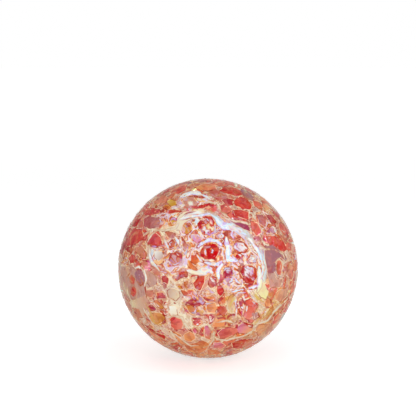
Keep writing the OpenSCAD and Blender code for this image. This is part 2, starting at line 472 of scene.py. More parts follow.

# the next tables draw on the show face, in hundredths of the ball's radius, across and up from its middle

# streams and pools of tinted glass, and the painted reflection of the strip lamp: colour, half width, weight
# and course
streams = [
    ("dusk", 40, 0.4, [(20, 85), (65, 55)]),
    ("cream", 40, 0.5, [(-35, -45), (-10, 10)]),
    ("gold", 25, 0.6, [(50, -50), (75, -45)]),
    ("ash", 14, 10, [(-97, 3), (-90, -15), (-66, -17), (-72, -36)]),
    ("cream", 6, 8, [(-60, 42), (-47, 42), (-36, 44), (-30, 53)]),
    # painted reflection of the strip lamp, a pale band with lilac and lemon edges, and a pale painted
    # highlight in the middle
    ("snow", 5, 8, [(-30, 54), (-21, 57), (-10, 58.5)]),
    ("lilac", 3.5, 6, [(3, 63.5), (12, 59), (20, 52), (32, 50), (43, 42), (50, 33), (58, 24), (65, 14)]),
    ("pearl", 3.2, 40, [(-10, 58.5), (2, 60.5), (10, 55), (16, 47), (26, 47), (36, 43), (43, 36), (50, 27),
        (57, 17), (60, 6), (61, -5), (59, -12)]),
    ("lemon", 5, 12, [(54.5, 5), (57, -8), (57, -18), (56, -24)]),
    ("snow", 3, 12, [(55, -20), (45, -23.5), (35, -25), (28, -31)]),
    ("pearl", 3, 12, [(22, 30), (21, 22), (22, 12)]),
    # tinted glass
    ("mauve", 10, 8, [(66, 20), (70, 10), (78, 13), (70, 2)]),
    ("mauve", 5, 5, [(25, 52), (37, 50), (44, 44)]),
    ("ash", 7, 6, [(68, -8), (74, -16)]),
    ("gold", 6, 8, [(25, -36), (26, -47), (60, -32)]),
    ("cream", 2.5, 14, [(32, -33), (32, -45), (30, -55)]),
    ("cream", 3, 14, [(48, -30), (56, -38), (62, -45)]),
    ("ash", 10, 6, [(-38, -28)]),
    ("dusk", 7, 6, [(34, 90), (45, 80), (50, 68)]),
    ("ash", 6, 6, [(84, 12), (86, 0), (84, -12)]),
    ("cream", 10, 8, [(-40, -42), (-37, -50)]),
    ("cream", 7, 10, [(-20, -6), (-2, -3)]),
]

# pieces at the rim: the angle from the right, in degrees, the colour and the first corner's
rimPieces = [
    (2, "coral", "orange"), (14, "salmon", "coral"), (27, "coral", "red"), (39, "crimson", "coral"),
    (50, "orange", "coral"), (61, "coral", "crimson"), (72, "coral", "salmon"), (83, "salmon", "pink"),
    (95, "rose", "tan"), (106, "coral", "dusk"), (117, "red", "crimson"), (127, "coral", "tan"),
    (137, "salmon", "coral"), (147, "coral", "red"), (157, "crimson", "red"), (167, "crimson", "wine"),
    (206, "sienna", "tan"), (216, "apricot", "sienna"), (226, "rose", "red"), (236, "orange", "coral"),
    (246, "crimson", "dusk"), (256, "coral", "orange"), (266, "apricot", "orange"),
    (277, "orange", "apricot"), (287, "red", "coral"), (298, "coral", "red"), (309, "apricot", "tan"),
    (320, "blush", "apricot"), (334, "coral", "red"), (347, "salmon", "coral")
]
rimShape = [(-4.6, 95.8), (-3.4, 99.4), (3.8, 99.7), (4.4, 96.8), (0.8, 94.8)]  # degrees from it, and radius


def rimCorners(angle):
    turns = [(math.radians(angle + turn), radius) for turn, radius in rimShape]
    return [(radius * math.cos(turn), radius * math.sin(turn)) for turn, radius in turns]


# large smooth pieces of glass, some pale ones being painted highlights: colour, the colour at the first
# corner, and the corners
patches = [(color, shade, rimCorners(angle)) for angle, color, shade in rimPieces] + [
    ("coral", "rose", [(-94, 32), (-88, 40), (-82, 44.5), (-73.5, 42), (-71, 33.5), (-78, 26.5), (-86, 25),
        (-93, 23)]),
    ("crimson", "wine", [(-94.5, 27), (-88, 24), (-83.5, 23.5), (-84.5, 15.5), (-89, 17.5)]),
    ("sienna", "tan", [(-82, 22), (-73.5, 24.5), (-68, 16.5), (-69, 10), (-75.5, 11), (-81, 17.5)]),
    ("coral", "rose", [(-70, 26.5), (-64.5, 35.5), (-58, 39), (-52.5, 33.5), (-52, 23), (-62, 23)]),
    ("red", "wine", [(-86, 48), (-79, 53), (-74.5, 56), (-79, 46.5), (-83.5, 45)]),
    ("rose", "coral", [(-73.5, 65.5), (-63, 67), (-52, 65.5), (-53.5, 61), (-64.5, 58), (-71, 59)]),
    ("dusk", "rose", [(-72, 55.5), (-64.5, 57.5), (-53.5, 56.5), (-51, 51), (-55.5, 44.5), (-66.5, 43.5),
        (-72, 47.5)]),
    ("salmon", "sienna", [(-61, 77.5), (-50, 82), (-44.5, 79), (-46.5, 73.5), (-55.5, 71), (-61, 72)]),
    ("coral", "salmon", [(-44, 88.5), (-31, 93), (-23.5, 94), (-24.5, 88), (-33, 82.5), (-42, 82.5)]),
    ("amber", "gold", [(-46.5, 73.5), (-42, 76.5), (-36.5, 74.5), (-35.5, 69), (-42, 68)]),
    ("amber", "gold", [(-42, 53), (-39, 55.5), (-34.5, 52.5), (-35.5, 48), (-40, 48.5)]),
    ("tan", "blush", [(-29, 74.5), (-22, 80), (-13.5, 79), (-11, 72), (-15.5, 67), (-24.5, 67)]),
    # painted highlight
    ("snow", "cream", [(-23, 73.5), (-20, 75), (-16.5, 73.5), (-17, 70.5), (-21, 70)]),
    ("brick", "coral", [(-50, 62), (-42, 65), (-30, 63.5), (-30, 61.5), (-42, 60)]),
    ("tan", "sienna", [(-49, 40), (-40, 41), (-36.5, 38), (-38, 32.5), (-44.5, 33.5)]),
    ("sienna", "crimson", [(-45.5, 28), (-40, 32), (-35.5, 29), (-36.5, 22), (-43.5, 20)]),
    ("tan", "brick", [(-31, 36), (-28, 34.5), (-22, 24.5), (-23, 13.5), (-26.5, 18), (-29, 27)]),
    ("pink", "lilac", [(-19, 38), (-11, 38), (-6.5, 32), (-11, 27.5), (-18, 31)]),
    ("orange", "red", [(-18, 14.5), (-8, 15.5), (-8, 8), (-13.5, 3.5), (-19, 6.5)]),
    ("rose", "crimson", [(-42, 15.5), (-33.5, 19), (-28, 14.5), (-29, 5.5), (-38, 2), (-44.5, 8)]),
    ("ash", "snow", [(-60, 19), (-52, 19), (-50, 12), (-55.5, 8), (-60, 12)]),
    ("coral", "rose", [(-89, 11), (-85, 15), (-81, 12), (-82, 6), (-86, 5)]),
    ("tan", "sienna", [(-76, 6), (-70, 8), (-62, 6), (-62, 0), (-70, -2)]),
    ("red", "crimson", [(-12, 50), (-6, 58), (4, 58), (9, 50), (8, 40), (0, 36), (-7, 38)]),
    # small pieces of a crushed chip; the pale ones are painted glints
    ("pink", "cream", [(-6, 53), (-2, 56), (1, 52), (-3, 49)]),
    ("cream", "gold", [(-3, 47), (1, 50), (3, 45), (0, 43)]),
    ("shell", "pink", [(2, 54), (5.5, 53), (5.5, 48), (2.5, 50)]),
    ("apricot", "red", [(-8, 48), (-4, 48), (-4, 42), (-7, 43)]),
    ("rose", "pink", [(-3, 43), (2, 42), (1, 38), (-3, 39)]),
    ("gold", "snow", [(3, 44), (6.5, 46), (6.5, 42), (4, 40)]),
    ("shell", "coral", [(-9, 52), (-7, 55), (-4, 56.5), (-5.5, 53)]),
    # cream glass
    ("cream", "bone", [(-52, 40), (-40, 42), (-30, 42), (-27, 50), (-14, 56), (-4, 61), (-7, 65.5), (-20, 64),
        (-31, 60), (-34, 56), (-36, 47), (-46, 45)]),
    # painted reflection of the strip lamp
    ("snow", "ice", [(-30, 55), (-20, 57), (-6, 61), (-12, 64), (-24, 61)]),
    ("red", "crimson", [(-20, 69), (-10, 70), (2, 72), (-4, 67), (-14, 66)]),
    ("salmon", "orange", [(-14, 90), (-5, 94), (8, 94), (10, 88), (0, 85), (-8, 87)]),
    ("coral", "salmon", [(6, 93), (8, 97.8), (22, 97.2), (28, 93), (20, 91), (12, 91)]),
    ("coral", "red", [(12, 86), (18, 90.5), (29, 90), (37, 85.5), (38, 81), (31, 80), (22, 82.5)]),
    ("red", "coral", [(30, 77.5), (36, 80), (44, 77), (49, 70), (48, 65.5), (39, 66), (31, 70), (28, 74)]),
    ("brick", "plum", [(14, 75.5), (22, 78.5), (28, 77), (27, 70), (20, 70)]),
    ("coral", "brick", [(28, 64.5), (36, 65.5), (45.5, 62.5), (45.5, 53.5), (39, 54.5), (30, 59)]),
    ("salmon", "rose", [(12, 70), (19, 72), (25, 68), (26.5, 63.5), (21, 60), (14, 63.5)]),
    ("salmon", "coral", [(50, 75), (57, 73.5), (62, 67), (57, 65.5), (51, 70)]),
    ("apricot", "salmon", [(60, 73.5), (66, 71), (71, 66), (66, 63.5), (61, 68)]),
    ("rose", "mauve", [(54.5, 60), (61, 60), (65.5, 52), (63.5, 45.5), (57, 50)]),
    ("coral", "salmon", [(47, 53), (56, 50), (60, 40), (54, 34.5), (49, 42)]),
    ("lilac", "plum", [(66, 41), (72, 46), (76, 42), (75, 38), (68, 38)]),
    ("coral", "red", [(63, 37), (75, 35), (84, 30), (88, 20), (84, 17), (75, 21), (66, 28)]),
    ("brick", "plum", [(66, 58), (70, 60), (76, 52), (74, 46), (70, 49)]),
    ("salmon", "coral", [(78, 50), (81, 52), (87, 42), (86, 36), (80, 42)]),
    ("coral", "salmon", [(90, 32), (92, 34), (96, 22), (95, 14), (92, 20)]),
    ("salmon", "brick", [(76, 0), (77, 8), (81, 9), (83, 0), (81, -8), (77, -6)]),
    # pieces in the middle of the ball; the snow, pearl and lilac ones on them are painted highlights
    ("brick", "sienna", [(21, 34), (22, 42), (30, 44), (38, 39), (36, 34), (28, 31)]),
    ("lilac", "snow", [(24, 36), (25, 40), (31, 41), (35, 38), (31, 34)]),
    ("brick", "sienna", [(27, 22), (30, 30), (40, 30), (46, 22), (42, 17), (32, 16)]),
    ("snow", "lilac", [(30, 22), (32, 28), (39, 28), (44, 22), (38, 18)]),
    ("brick", "sienna", [(6, 36), (11, 40), (18, 38), (20, 33), (14, 31), (9, 32)]),
    ("pearl", "lilac", [(10, 36), (13, 38), (17, 36), (16, 33), (12, 33)]),
    ("sienna", "coral", [(42, 10), (45, 15), (52, 14), (55, 9), (50, 5), (44, 6)]),
    ("snow", "pearl", [(45, 10), (47, 13), (52, 12), (52, 8), (47, 7)]),
    ("brick", "crimson", [(37, -6), (40, 2), (48, 4), (54, -1), (55, -10), (50, -18), (42, -16)]),
    ("lilac", "snow", [(41, -5), (43, 0), (49, 0), (51, -5), (47, -10), (42, -9)]),
    ("crimson", "wine", [(44, -8), (47, -5), (47, -10)]),
    ("snow", "ice", [(40, -2), (42, 2), (46, 2), (44, -3)]),
    ("apricot", "gold", [(47, 0), (52, -1), (50, -5)]),
    ("lilac", "crimson", [(47, -12), (52, -9), (52, -14)]),
    ("red", "crimson", [(28, 12), (32, 17), (40, 14), (40, 10), (32, 9)]),
    ("coral", "salmon", [(86, 26), (90, 34), (93, 28), (92, 18), (88, 20)]),
    ("salmon", "tan", [(88, -2), (90, 6), (95, 2), (95, -10), (92, -14), (89, -10)]),
    ("coral", "orange", [(92, -20), (95, -18), (97, -22), (94, -28), (91, -27)]),
    ("red", "crimson", [(-9, 18), (-5, 26), (2, 29), (10, 26), (12, 18), (8, 10), (0, 9), (-7, 12)]),
    ("ash", "blush", [(-98.5, 2), (-90, 3), (-80, 0), (-69, -20), (-66, -36), (-78, -40), (-90, -33),
        (-97, -15)]),
    ("dusk", "mauve", [(-82, -6), (-78, -1), (-73, -3), (-70, -10), (-71, -18), (-75, -21), (-80, -15)]),
    ("coral", "sienna", [(-88, -10), (-85, -7), (-81, -12), (-82, -18), (-86, -17)]),
    ("coral", "red", [(-86, -24), (-83, -20), (-80, -23), (-80, -29), (-83, -32), (-86, -29)]),
    ("sienna", "tan", [(-70, -28), (-68, -24), (-63, -24), (-60, -28), (-62, -33), (-68, -32)]),
    ("amber", "sienna", [(-60, -38), (-57, -34), (-52, -38), (-49, -44), (-52, -46), (-57, -42)]),
    ("plum", "crimson", [(-66, -42), (-62, -40), (-57, -45), (-58, -48), (-64, -47)]),
    ("amber", "apricot", [(-64, -50), (-58, -49), (-52, -50), (-47, -55), (-50, -60), (-56, -63), (-62, -60),
        (-65, -55)]),
    ("crimson", "red", [(-55, -47), (-50, -47), (-45, -53), (-48, -53)]),
    ("salmon", "coral", [(-41, -60), (-36, -55), (-29, -56), (-27, -62), (-29, -68), (-36, -69), (-41, -65)]),
    ("sienna", "amber", [(-25, -42), (-20, -40), (-13, -46), (-14, -52), (-21, -50)]),
    ("crimson", "plum", [(-26, -40), (-20, -35), (-14, -33), (-8, -40), (-10, -45), (-16, -42)]),
    ("lilac", "mauve", [(-12, -30), (-7, -32), (-3, -38), (-6, -42), (-10, -38)]),
    ("red", "brick", [(-17.5, -17), (-10, -9), (-3, -7), (-4, -16), (-9, -26), (-15, -23)]),
    ("crimson", "brick", [(-53, -8), (-47, -7), (-43, -12), (-45, -18), (-50, -15)]),
    ("straw", "ash", [(-46, -25), (-40, -22), (-32, -25), (-31, -32), (-36, -37), (-44, -33)]),
    ("cream", "snow", [(-44, -42), (-36, -42), (-34, -52), (-42, -53)]),
    ("orange", "sienna", [(-30, -80), (-20, -84), (-6, -80), (2, -84), (-2, -90), (-10, -95), (-22, -92)]),
    ("orange", "apricot", [(-27, -74), (-20, -70), (-14, -73), (-14, -79), (-20, -82), (-26, -80)]),
    ("pink", "coral", [(-18, -68), (-14, -66), (-11, -70), (-14, -74)]),
    ("red", "crimson", [(-72, -61), (-66, -64), (-58, -71), (-48, -74), (-47, -80), (-54, -76), (-62, -72)]),
    ("apricot", "coral", [(-80, -58), (-74, -62), (-66, -70), (-68, -72), (-77, -63)]),
    ("salmon", "apricot", [(-48, -84), (-40, -87), (-30, -93), (-34, -93.5), (-46, -88)]),
    ("apricot", "orange", [(26, -92), (40, -90), (52, -84), (60, -79), (54, -83.5), (40, -91), (30, -95)]),
    ("orange", "salmon", [(-66, -68), (-60, -73), (-52, -78), (-52, -84), (-60, -78)]),
    ("red", "rose", [(-40, -86), (-33, -84), (-28, -88), (-32, -92), (-38, -90)]),
    ("apricot", "orange", [(-40, -70), (-30, -74), (-26, -82), (-22, -86), (-30, -84), (-36, -77)]),
    ("sienna", "pink", [(-4, -64), (0, -63), (4, -70), (3, -80), (-3, -78)]),
    ("blush", "straw", [(-87, -37), (-79, -34), (-68, -30), (-64, -40), (-68, -49), (-74, -54), (-81, -50)]),
    ("sienna", "tan", [(-83, -44), (-76, -46), (-72, -54), (-78, -56), (-84, -50)]),
    ("coral", "orange", [(-30, -24), (-24, -25), (-21, -30), (-26, -31)]),
    ("rose", "crimson", [(-56, -36), (-52, -34), (-49, -39), (-52, -41)]),
    ("crimson", "rose", [(0, -12), (6, -8), (11, -10), (11, -18), (5, -22), (1, -19)]),
    ("rose", "pink", [(11, -7), (16, -6), (18, -13), (13, -17)]),
    ("coral", "sienna", [(-2, 5), (9, 6), (10, -6), (6, -8), (2, -3)]),
    ("plum", "crimson", [(16.5, -6), (20, -1), (26, 0), (30, -6), (27, -12), (19, -15)]),
    ("lilac", "ice", [(20, -2), (24, -1), (26, -4), (22, -5)]),
    ("mauve", "lilac", [(20, -11), (29, -9), (27, -16), (21, -17)]),
    ("red", "coral", [(10, -20), (15, -18), (18, -25), (14, -31), (10, -28)]),
    ("apricot", "orange", [(-3, -40), (8, -39), (10, -44), (8, -50), (-1, -50)]),
    ("orange", "red", [(10, -43), (18, -42), (22, -48), (18, -55), (12, -50)]),
    ("salmon", "coral", [(42, -36), (48, -33), (55, -42), (50, -52), (44, -58), (38, -52), (41, -44)]),
    ("rose", "plum", [(33, -36), (38, -33), (41, -38), (40, -48), (36, -46)]),
    ("mauve", "ash", [(48, -50), (55, -48), (57, -54), (50, -58)]),
    ("salmon", "rose", [(11, -72), (16, -67), (28, -65), (36, -69), (30, -73), (20, -78), (13, -78)]),
    ("apricot", "pink", [(32, -66), (38, -60), (48, -64), (52, -68), (42, -72), (34, -72)]),
    ("crimson", "red", [(30, -62), (34, -62), (33, -67), (30, -67)]),
    ("salmon", "apricot", [(56, -74), (66, -70), (74, -62), (70, -68), (62, -76)]),
    ("coral", "brick", [(26, -83), (38, -79), (50, -78), (48, -85), (38, -89), (28, -88)]),
    ("orange", "sienna", [(-2, -90), (10, -90), (16, -94), (10, -98), (0, -98)]),
    ("crimson", "red", [(14, -96), (20, -93), (24, -95), (16, -98.5)]),
    ("teal", "ash", [(79, -57), (84, -50), (86.5, -49), (84, -54), (81, -58)]),
    ("tan", "apricot", [(52, -68), (56, -63), (68, -61), (72, -66), (64, -74), (56, -76)]),
    ("apricot", "orange", [(62, -38), (66, -33), (70, -36), (70, -42), (64, -43)]),
    ("salmon", "coral", [(72, -55), (78, -50), (81, -54), (76, -62), (72, -62)]),
    ("coral", "red", [(82, -46), (88, -38), (90, -42), (84, -50)]),
    ("blush", "apricot", [(74, -30), (80, -24), (88, -22), (88, -30), (80, -38), (75, -36)]),
    ("blush", "ash", [(66, -5), (74, -4), (78, -11), (84, -12), (80, -22), (69, -22)]),
    ("salmon", "pink", [(6, -83), (14, -82), (20, -86), (14, -90), (6, -88)]),
    ("red", "coral", [(40, -60), (48, -62), (50, -66), (44, -64)]),
    ("blush", "ash", [(-98, 3), (-91, 2), (-86, -1), (-87, -6), (-91, -12), (-96, -14)]),
    ("ash", "blush", [(-70, -2), (-64, -4), (-56, -10), (-58, -18), (-64, -22), (-68, -16)]),
    ("lemon", "straw", [(57, -16), (62, -17), (67, -26), (64, -35), (59, -33), (54, -26)]),
    ("straw", "amber", [(24, -30), (34, -27), (30, -40), (29, -50), (23, -50), (20, -40)]),
    ("dusk", "mauve", [(36, 88), (44, 86), (52, 78), (50, 74), (42, 78), (37, 83)]),
    ("plum", "mauve", [(20, 55.5), (33, 53), (44, 50), (47.5, 40), (40, 43), (28, 49.5)]),
    ("mauve", "dusk", [(63, 24.5), (72, 25.5), (82, 17.5), (88, 11), (87, 6), (81, 11.5), (75, 7), (74, -4),
        (66, -6), (63, 10)]),
]

# thin strands that lie over everything, of pale glass, and of painted reflections and highlights: colour,
# half width and course
strands = [
    # painted reflection of the strip lamp, pale with lilac, pink and lemon along it
    ("lilac", 1.6, [(2, 63), (11, 58), (18, 50.5), (29, 48.5), (39, 43), (49, 32), (57, 22)]),
    ("pink", 2.2, [(16, 43), (24, 44), (32, 42), (40, 34), (45, 25)]),
    ("pearl", 2.4, [(-20, 57), (-10, 58.5), (2, 60.5), (10, 55.5), (16, 47.5), (26, 47), (36, 43), (43, 36),
        (50, 27), (57, 17), (60, 6), (61, -5), (59, -12)]),
    ("ice", 1.2, [(-15, 58), (2, 60), (16, 46.5), (26, 46.5), (37, 42), (50, 26.5), (60, 5)]),
    ("snow", 2.6, [(-32, 54), (-22, 57), (-12, 58.5)]),
    ("ice", 3, [(10, 54), (14, 47), (19, 44), (24, 46)]),
    ("snow", 1.8, [(44, 33), (50, 27), (55, 20)]),
    ("ice", 1.2, [(60, 15), (62, 20), (65, 21), (66, 18)]),
    ("lemon", 3, [(56, 2), (57, -10), (57, -20), (55, -26)]),
    ("snow", 2.1, [(57, -18), (50, -21), (42, -22)]),
    ("pearl", 1.6, [(40, -23.5), (32, -24.5), (26, -26)]),
    # painted white and lilac highlights in the middle of the ball
    ("ice", 2.6, [(-12, 23), (-6, 29), (2, 32), (10, 30), (15, 24)]),
    ("lilac", 1.8, [(-12, 16), (-7, 8), (2, 4), (10, 4), (16, 9)]),
    ("snow", 3.4, [(20, 34), (21.5, 24), (22, 14), (21, 8)]),
    ("ice", 2.2, [(21, 12), (25, 8), (34, 7)]),
    ("snow", 2, [(16, 5), (11.5, -2), (13, -12)]),
    # cream glass
    ("cream", 3.2, [(-24, -2), (-10, -6), (0, -2), (5, -5)]),
    ("bone", 2, [(5, -2), (0, 2), (-10, -3)]),
    # painted highlights
    ("lilac", 1, [(30, -8), (32, -14), (37, -18)]),
    ("lilac", 1.2, [(-1, -20), (3, -26), (9, -28)]),
    ("snow", 1, [(2, -10), (6, -14), (10, -13)]),
    ("snow", 1.6, [(30, 31), (26, 37), (28, 42)]),
    # painted highlight at the top
    ("pearl", 1.4, [(-33, 75), (-28, 79), (-22, 81)]),
    ("snow", 4.5, [(-23, 81.5), (-15, 85), (-8, 82)]),
    ("lemon", 2, [(-19, 87.5), (-12, 88.5)]),
    ("snow", 2, [(-33, 77), (-27, 82), (-20, 85)]),
    # painted highlights in the red bowl
    ("pink", 1.1, [(-1.5, 16), (-3, 19), (-1.5, 22)]),
    ("pink", 1.3, [(3, 22.5), (5, 19), (3.5, 15.5)]),
    # thin orange and amber lines
    ("apricot", 0.9, [(-15.5, 20), (-11, 29), (-3, 34.5)]),
    ("amber", 0.9, [(-10, 62), (2, 64), (9, 60.5)]),
    ("apricot", 0.9, [(25, 34), (26, 24), (26.5, 14)]),
    ("amber", 0.9, [(45, -26), (35, -27.5), (27, -29.5)]),
    ("apricot", 0.9, [(10, 46), (13, 40), (19, 39)]),
    # rosy glass at the rim
    ("crimson", 1.8, [(-98.5, 10), (-96.5, 22), (-93, 34)]),
    ("wine", 1.4, [(-90, 42), (-85, 50), (-80, 58)]),
    ("red", 2.2, [(-82, 55), (-76, 63), (-68, 72)]),
    ("coral", 2.2, [(-68, 72), (-60, 78.5), (-50, 85)]),
    ("crimson", 1.6, [(-50, 85), (-38, 91.5), (-24, 96)]),
    ("coral", 1.8, [(-24, 96), (-10, 98.5), (6, 98.5)]),
    # painted highlights at the top
    ("snow", 2, [(-8, 82), (-2, 80), (3, 75)]),
    ("lilac", 2, [(-7, 77), (-1, 75)]),
    ("snow", 1.2, [(-15, 78), (-11, 74), (-11.5, 70)]),
    # strands of pale and gold glass
    ("bone", 1.6, [(10, 61), (20, 55.5), (32, 51.5), (43, 49.5), (47, 44)]),
    ("bone", 1.3, [(10, 66), (17, 60), (25, 55.5)]),
    ("bone", 1.8, [(-70, 25), (-64, 35), (-58, 41), (-47, 42), (-37, 44), (-32, 50)]),
    ("bone", 1.6, [(-50, 34), (-47, 26), (-44, 20)]),
    ("snow", 1.6, [(-37, 35), (-33, 28), (-31, 21)]),
    ("bone", 1.6, [(-66, 25), (-65, 15), (-61, 5), (-54, -3), (-44, -5)]),
    ("snow", 1.6, [(-85, 0), (-77, 1.5), (-71, -3), (-69, -12), (-71, -20)]),
    ("bone", 1.3, [(-89, -20), (-89, -29), (-85, -36), (-80, -36), (-79, -28)]),
    ("bone", 1.8, [(-73, -42), (-67, -52), (-62, -62), (-55, -67.5), (-47, -66)]),
    ("gold", 1.3, [(-70, -38), (-64, -49), (-59, -62), (-50, -64)]),
    ("bone", 1.8, [(-46, -55), (-38, -53), (-29, -55), (-25, -62), (-20, -68)]),
    ("bone", 1.6, [(-31, -38), (-27, -48), (-22, -55), (-21, -62)]),
    ("bone", 1.6, [(-46, -70), (-36, -74), (-28, -80), (-20, -86), (-11, -86)]),
    ("bone", 1.8, [(-2, -60), (4, -66), (7, -71), (6, -80), (1, -86), (-6, -88)]),
    ("bone", 1.6, [(10, -78), (20, -80.5), (30, -77.5), (42, -74.5), (50, -69), (51, -63)]),
    ("bone", 1.8, [(8, -61), (20, -59), (30, -61)]),
    ("bone", 1.4, [(33, -30), (30, -38), (31, -46), (31, -56)]),
    ("gold", 2, [(34, -27), (28, -34), (25, -42), (27, -50)]),
    ("bone", 1.3, [(22, -36), (21, -44), (24, -50)]),
    ("bone", 1.7, [(46, -27), (53, -36), (60, -43), (66, -45)]),
    ("gold", 1.3, [(50, -26), (56, -34), (62, -39)]),
    ("bone", 2.4, [(54, -62), (66, -58), (73, -48), (82, -40), (89, -33)]),
    ("gold", 1.3, [(57, -58), (65, -53), (70, -46), (80, -36)]),
    ("bone", 1.3, [(74, 5), (78, 10.5), (83, 6), (83.5, -5)]),
    ("bone", 1.3, [(55, 27), (64, 21.5), (74, 20), (83, 15), (87, 6)]),
    ("bone", 1.3, [(70, 46), (74, 44), (75, 38)]),
]

# places where the chips gleam with painted pearly sheen, rainbow rings and highlights: across, up and width
gleams = [
    (12, 22, 30), (38, 0, 28), (-10, 40, 22), (-36, 12, 20), (-13, -36, 14), (-17, 76, 16), (40, -42, 12),
    (-45, 60, 14), (70, 42, 12), (-55, 15, 12)
]

blend = {
    "start": 0.15,  # weight of the tan between the streams
    "wander": 0.035,  # how far the streams' banks wander, as a share of the radius
    "wanderSize": 0.22,
    "strandWander": 0.014,
    "patchWander": 0.012,
    "patchEdge": 0.03,  # width of a patch's soft edge, as a share of the radius
    "rim": (0.3, 0.62),  # where the clear glass turns rosy: cosines of the angle from the show face's middle
    "streamed": (2, 5),  # weight of the streams at which it doesn't
    "tip": 0.35,  # width of a strand's ends, as a share of its middle
    "veil": 0.03,  # what the gloss adds to a patch's colour ...
    "light": 0.98,  # ... and how bright the lamps show it
}

# what lies on the rest of the ball, at random
scattered = {
    "behind": 0.1,  # cosine of the angle from the show face's middle at which it begins
    "step": 0.08,  # share of the radius between the places of a course
    "streams": 60,
    "streamWidths": (0.05, 0.14),
    "streamWeight": 8,
    "streamNames": ["cream", "ash", "gold", "mauve", "lilac", "rosewood"],
    "strands": 50,
    "strandWidths": (0.01, 0.022),
    "strandNames": ["bone", "bone", "cream", "gold", "lilac", "pearl"],
    "patches": 130,
    "patchSizes": (0.06, 0.14),
    "patchSlimness": (0.5, 0.9),  # its width as a share of its length
    "patchCorners": 6,
    "patchUneven": 0.3,  # how far a corner is off, as a share of the turn between two
    "patchNames": ["coral", "coral", "salmon", "red", "orange", "sienna", "rose", "amber", "mauve", "crimson",
                   "brick"],
    # a pale line is a painted highlight, and a dark one painted shade
    "lined": 0.6,  # share of the patches, drawn ones too, with a pale line inside and a dark one at the edge
    "paleLine": {"outward": (0.45, 0.6), "widths": (0.006, 0.01)},
    "darkLine": {"outward": (0.85, 1), "widths": (0.008, 0.014)},
    "gleams": 12,
    "gleamWidths": (0.1, 0.28),
}


def drawn(places):
    return [np.array(facing(across / 100, up / 100)) for across, up in places]


def placeBehind():
    direction = randomVector().normalized()
    while direction.dot(showFace) >= scattered["behind"]:
        direction = randomVector().normalized()
    return direction


def turnedFrom(direction):
    # a random direction at right angles to this one
    side = direction.orthogonal().normalized()
    side.rotate(Matrix.Rotation(random.uniform(0, 2 * math.pi), 3, direction))
    return side


def bentCourse():
    course = [placeBehind()]
    heading = turnedFrom(course[0])
    for step in range(4):
        heading.rotate(Matrix.Rotation(random.uniform(-0.5, 0.5), 3, course[-1]))
        course.append((course[-1] + heading * scattered["step"]).normalized())
    return [np.array(place) for place in course]


def planStreams():
    planned = [(name, width / 100, weight, drawn(course)) for name, width, weight, course in streams]
    for k in range(scattered["streams"]):
        course = bentCourse()
        name = random.choice(scattered["streamNames"])
        planned.append((name, random.uniform(*scattered["streamWidths"]), scattered["streamWeight"], course))
    return planned


def planStrands():
    planned = [(name, width / 100, drawn(course)) for name, width, course in strands]
    for k in range(scattered["strands"]):
        course = bentCourse()
        name = random.choice(scattered["strandNames"])
        planned.append((name, random.uniform(*scattered["strandWidths"]), course))
    return planned


def planPatches():
    planned = [(tints[name], tints[shade], drawn(corners)) for name, shade, corners in patches]
    names = scattered["patchNames"]
    for patch in range(scattered["patches"]):
        middle = placeBehind()
        size = random.uniform(*scattered["patchSizes"])
        side = turnedFrom(middle)
        across = middle.cross(side) * random.uniform(*scattered["patchSlimness"])
        corners = []
        for k in range(scattered["patchCorners"]):
            uneven = random.uniform(-scattered["patchUneven"], scattered["patchUneven"])
            turn = (k + uneven) * 2 * math.pi / scattered["patchCorners"]
            reach = size * random.uniform(0.7, 1)
            corners.append(np.array(middle + (side * math.cos(turn) + across * math.sin(turn)) * reach))
        planned.append((tints[random.choice(names)], tints[random.choice(names)], corners))
    return planned


def bentLine(middle, corners, settings):
    arc = [middle + (corner - middle) * random.uniform(*settings["outward"]) for corner in corners]
    return random.uniform(*settings["widths"]), arc


def planLines():
    # painted highlight lines go over the other strands, and lines of painted shade under them
    for tint, shade, corners in plannedPatches:
        if random.random() < scattered["lined"] and len(corners) > 3:
            middle = sum(corners) / len(corners)
            first = random.randrange(len(corners))
            turned = (corners[first:] + corners[:first]) * 2
            plannedStrands.append(("shell", *bentLine(middle, turned[:3], scattered["paleLine"])))
            plannedStrands.insert(0, ("wine", *bentLine(middle, turned[3:6], scattered["darkLine"])))


def planGleams():
    planned = [(np.array(facing(across / 100, up / 100)), width / 100) for across, up, width in gleams]
    for k in range(scattered["gleams"]):
        direction = np.array(placeBehind())
        planned.append((direction, random.uniform(*scattered["gleamWidths"])))
    return planned


def distanceToCourse(directions, course):
    # from each direction to the nearest place of a course, and how far along the course that is
    best = np.full(len(directions), 9.0)
    along = np.zeros(len(directions))
    steps = max(1, len(course) - 1)
    for k in range(steps):
        a = course[k]
        side = course[min(k + 1, len(course) - 1)] - a
        share = np.clip((directions - a) @ side / max(side @ side, 1e-9), 0, 1)
        away = np.linalg.norm(directions - a - share[:, None] * side, axis=1)
        along = np.where(away < best, (k + share) / steps, along)
        best = np.minimum(best, away)
    return best, along


def wanderingDirections(piece, share):
    directions = unit(readPoints(piece.data))
    wander = [noiseAt(directions, blend["wanderSize"], seed) for seed in (3, 14, 25)]
    return directions + share * np.array(wander).T


def nearby(directions, middle, reach):
    return np.flatnonzero(np.linalg.norm(directions - middle, axis=1) < reach)


def linear(rgb):
    return [((c / 255) / 12.92 if c <= 10 else ((c / 255 + 0.055) / 1.055) ** 2.4) for c in rgb] + [1.0]


def writeColors(mesh, name, colors):
    layer = mesh.attributes.new(name, "FLOAT_COLOR", "POINT")
    layer.data.foreach_set("color", colors.astype(np.float32).ravel())


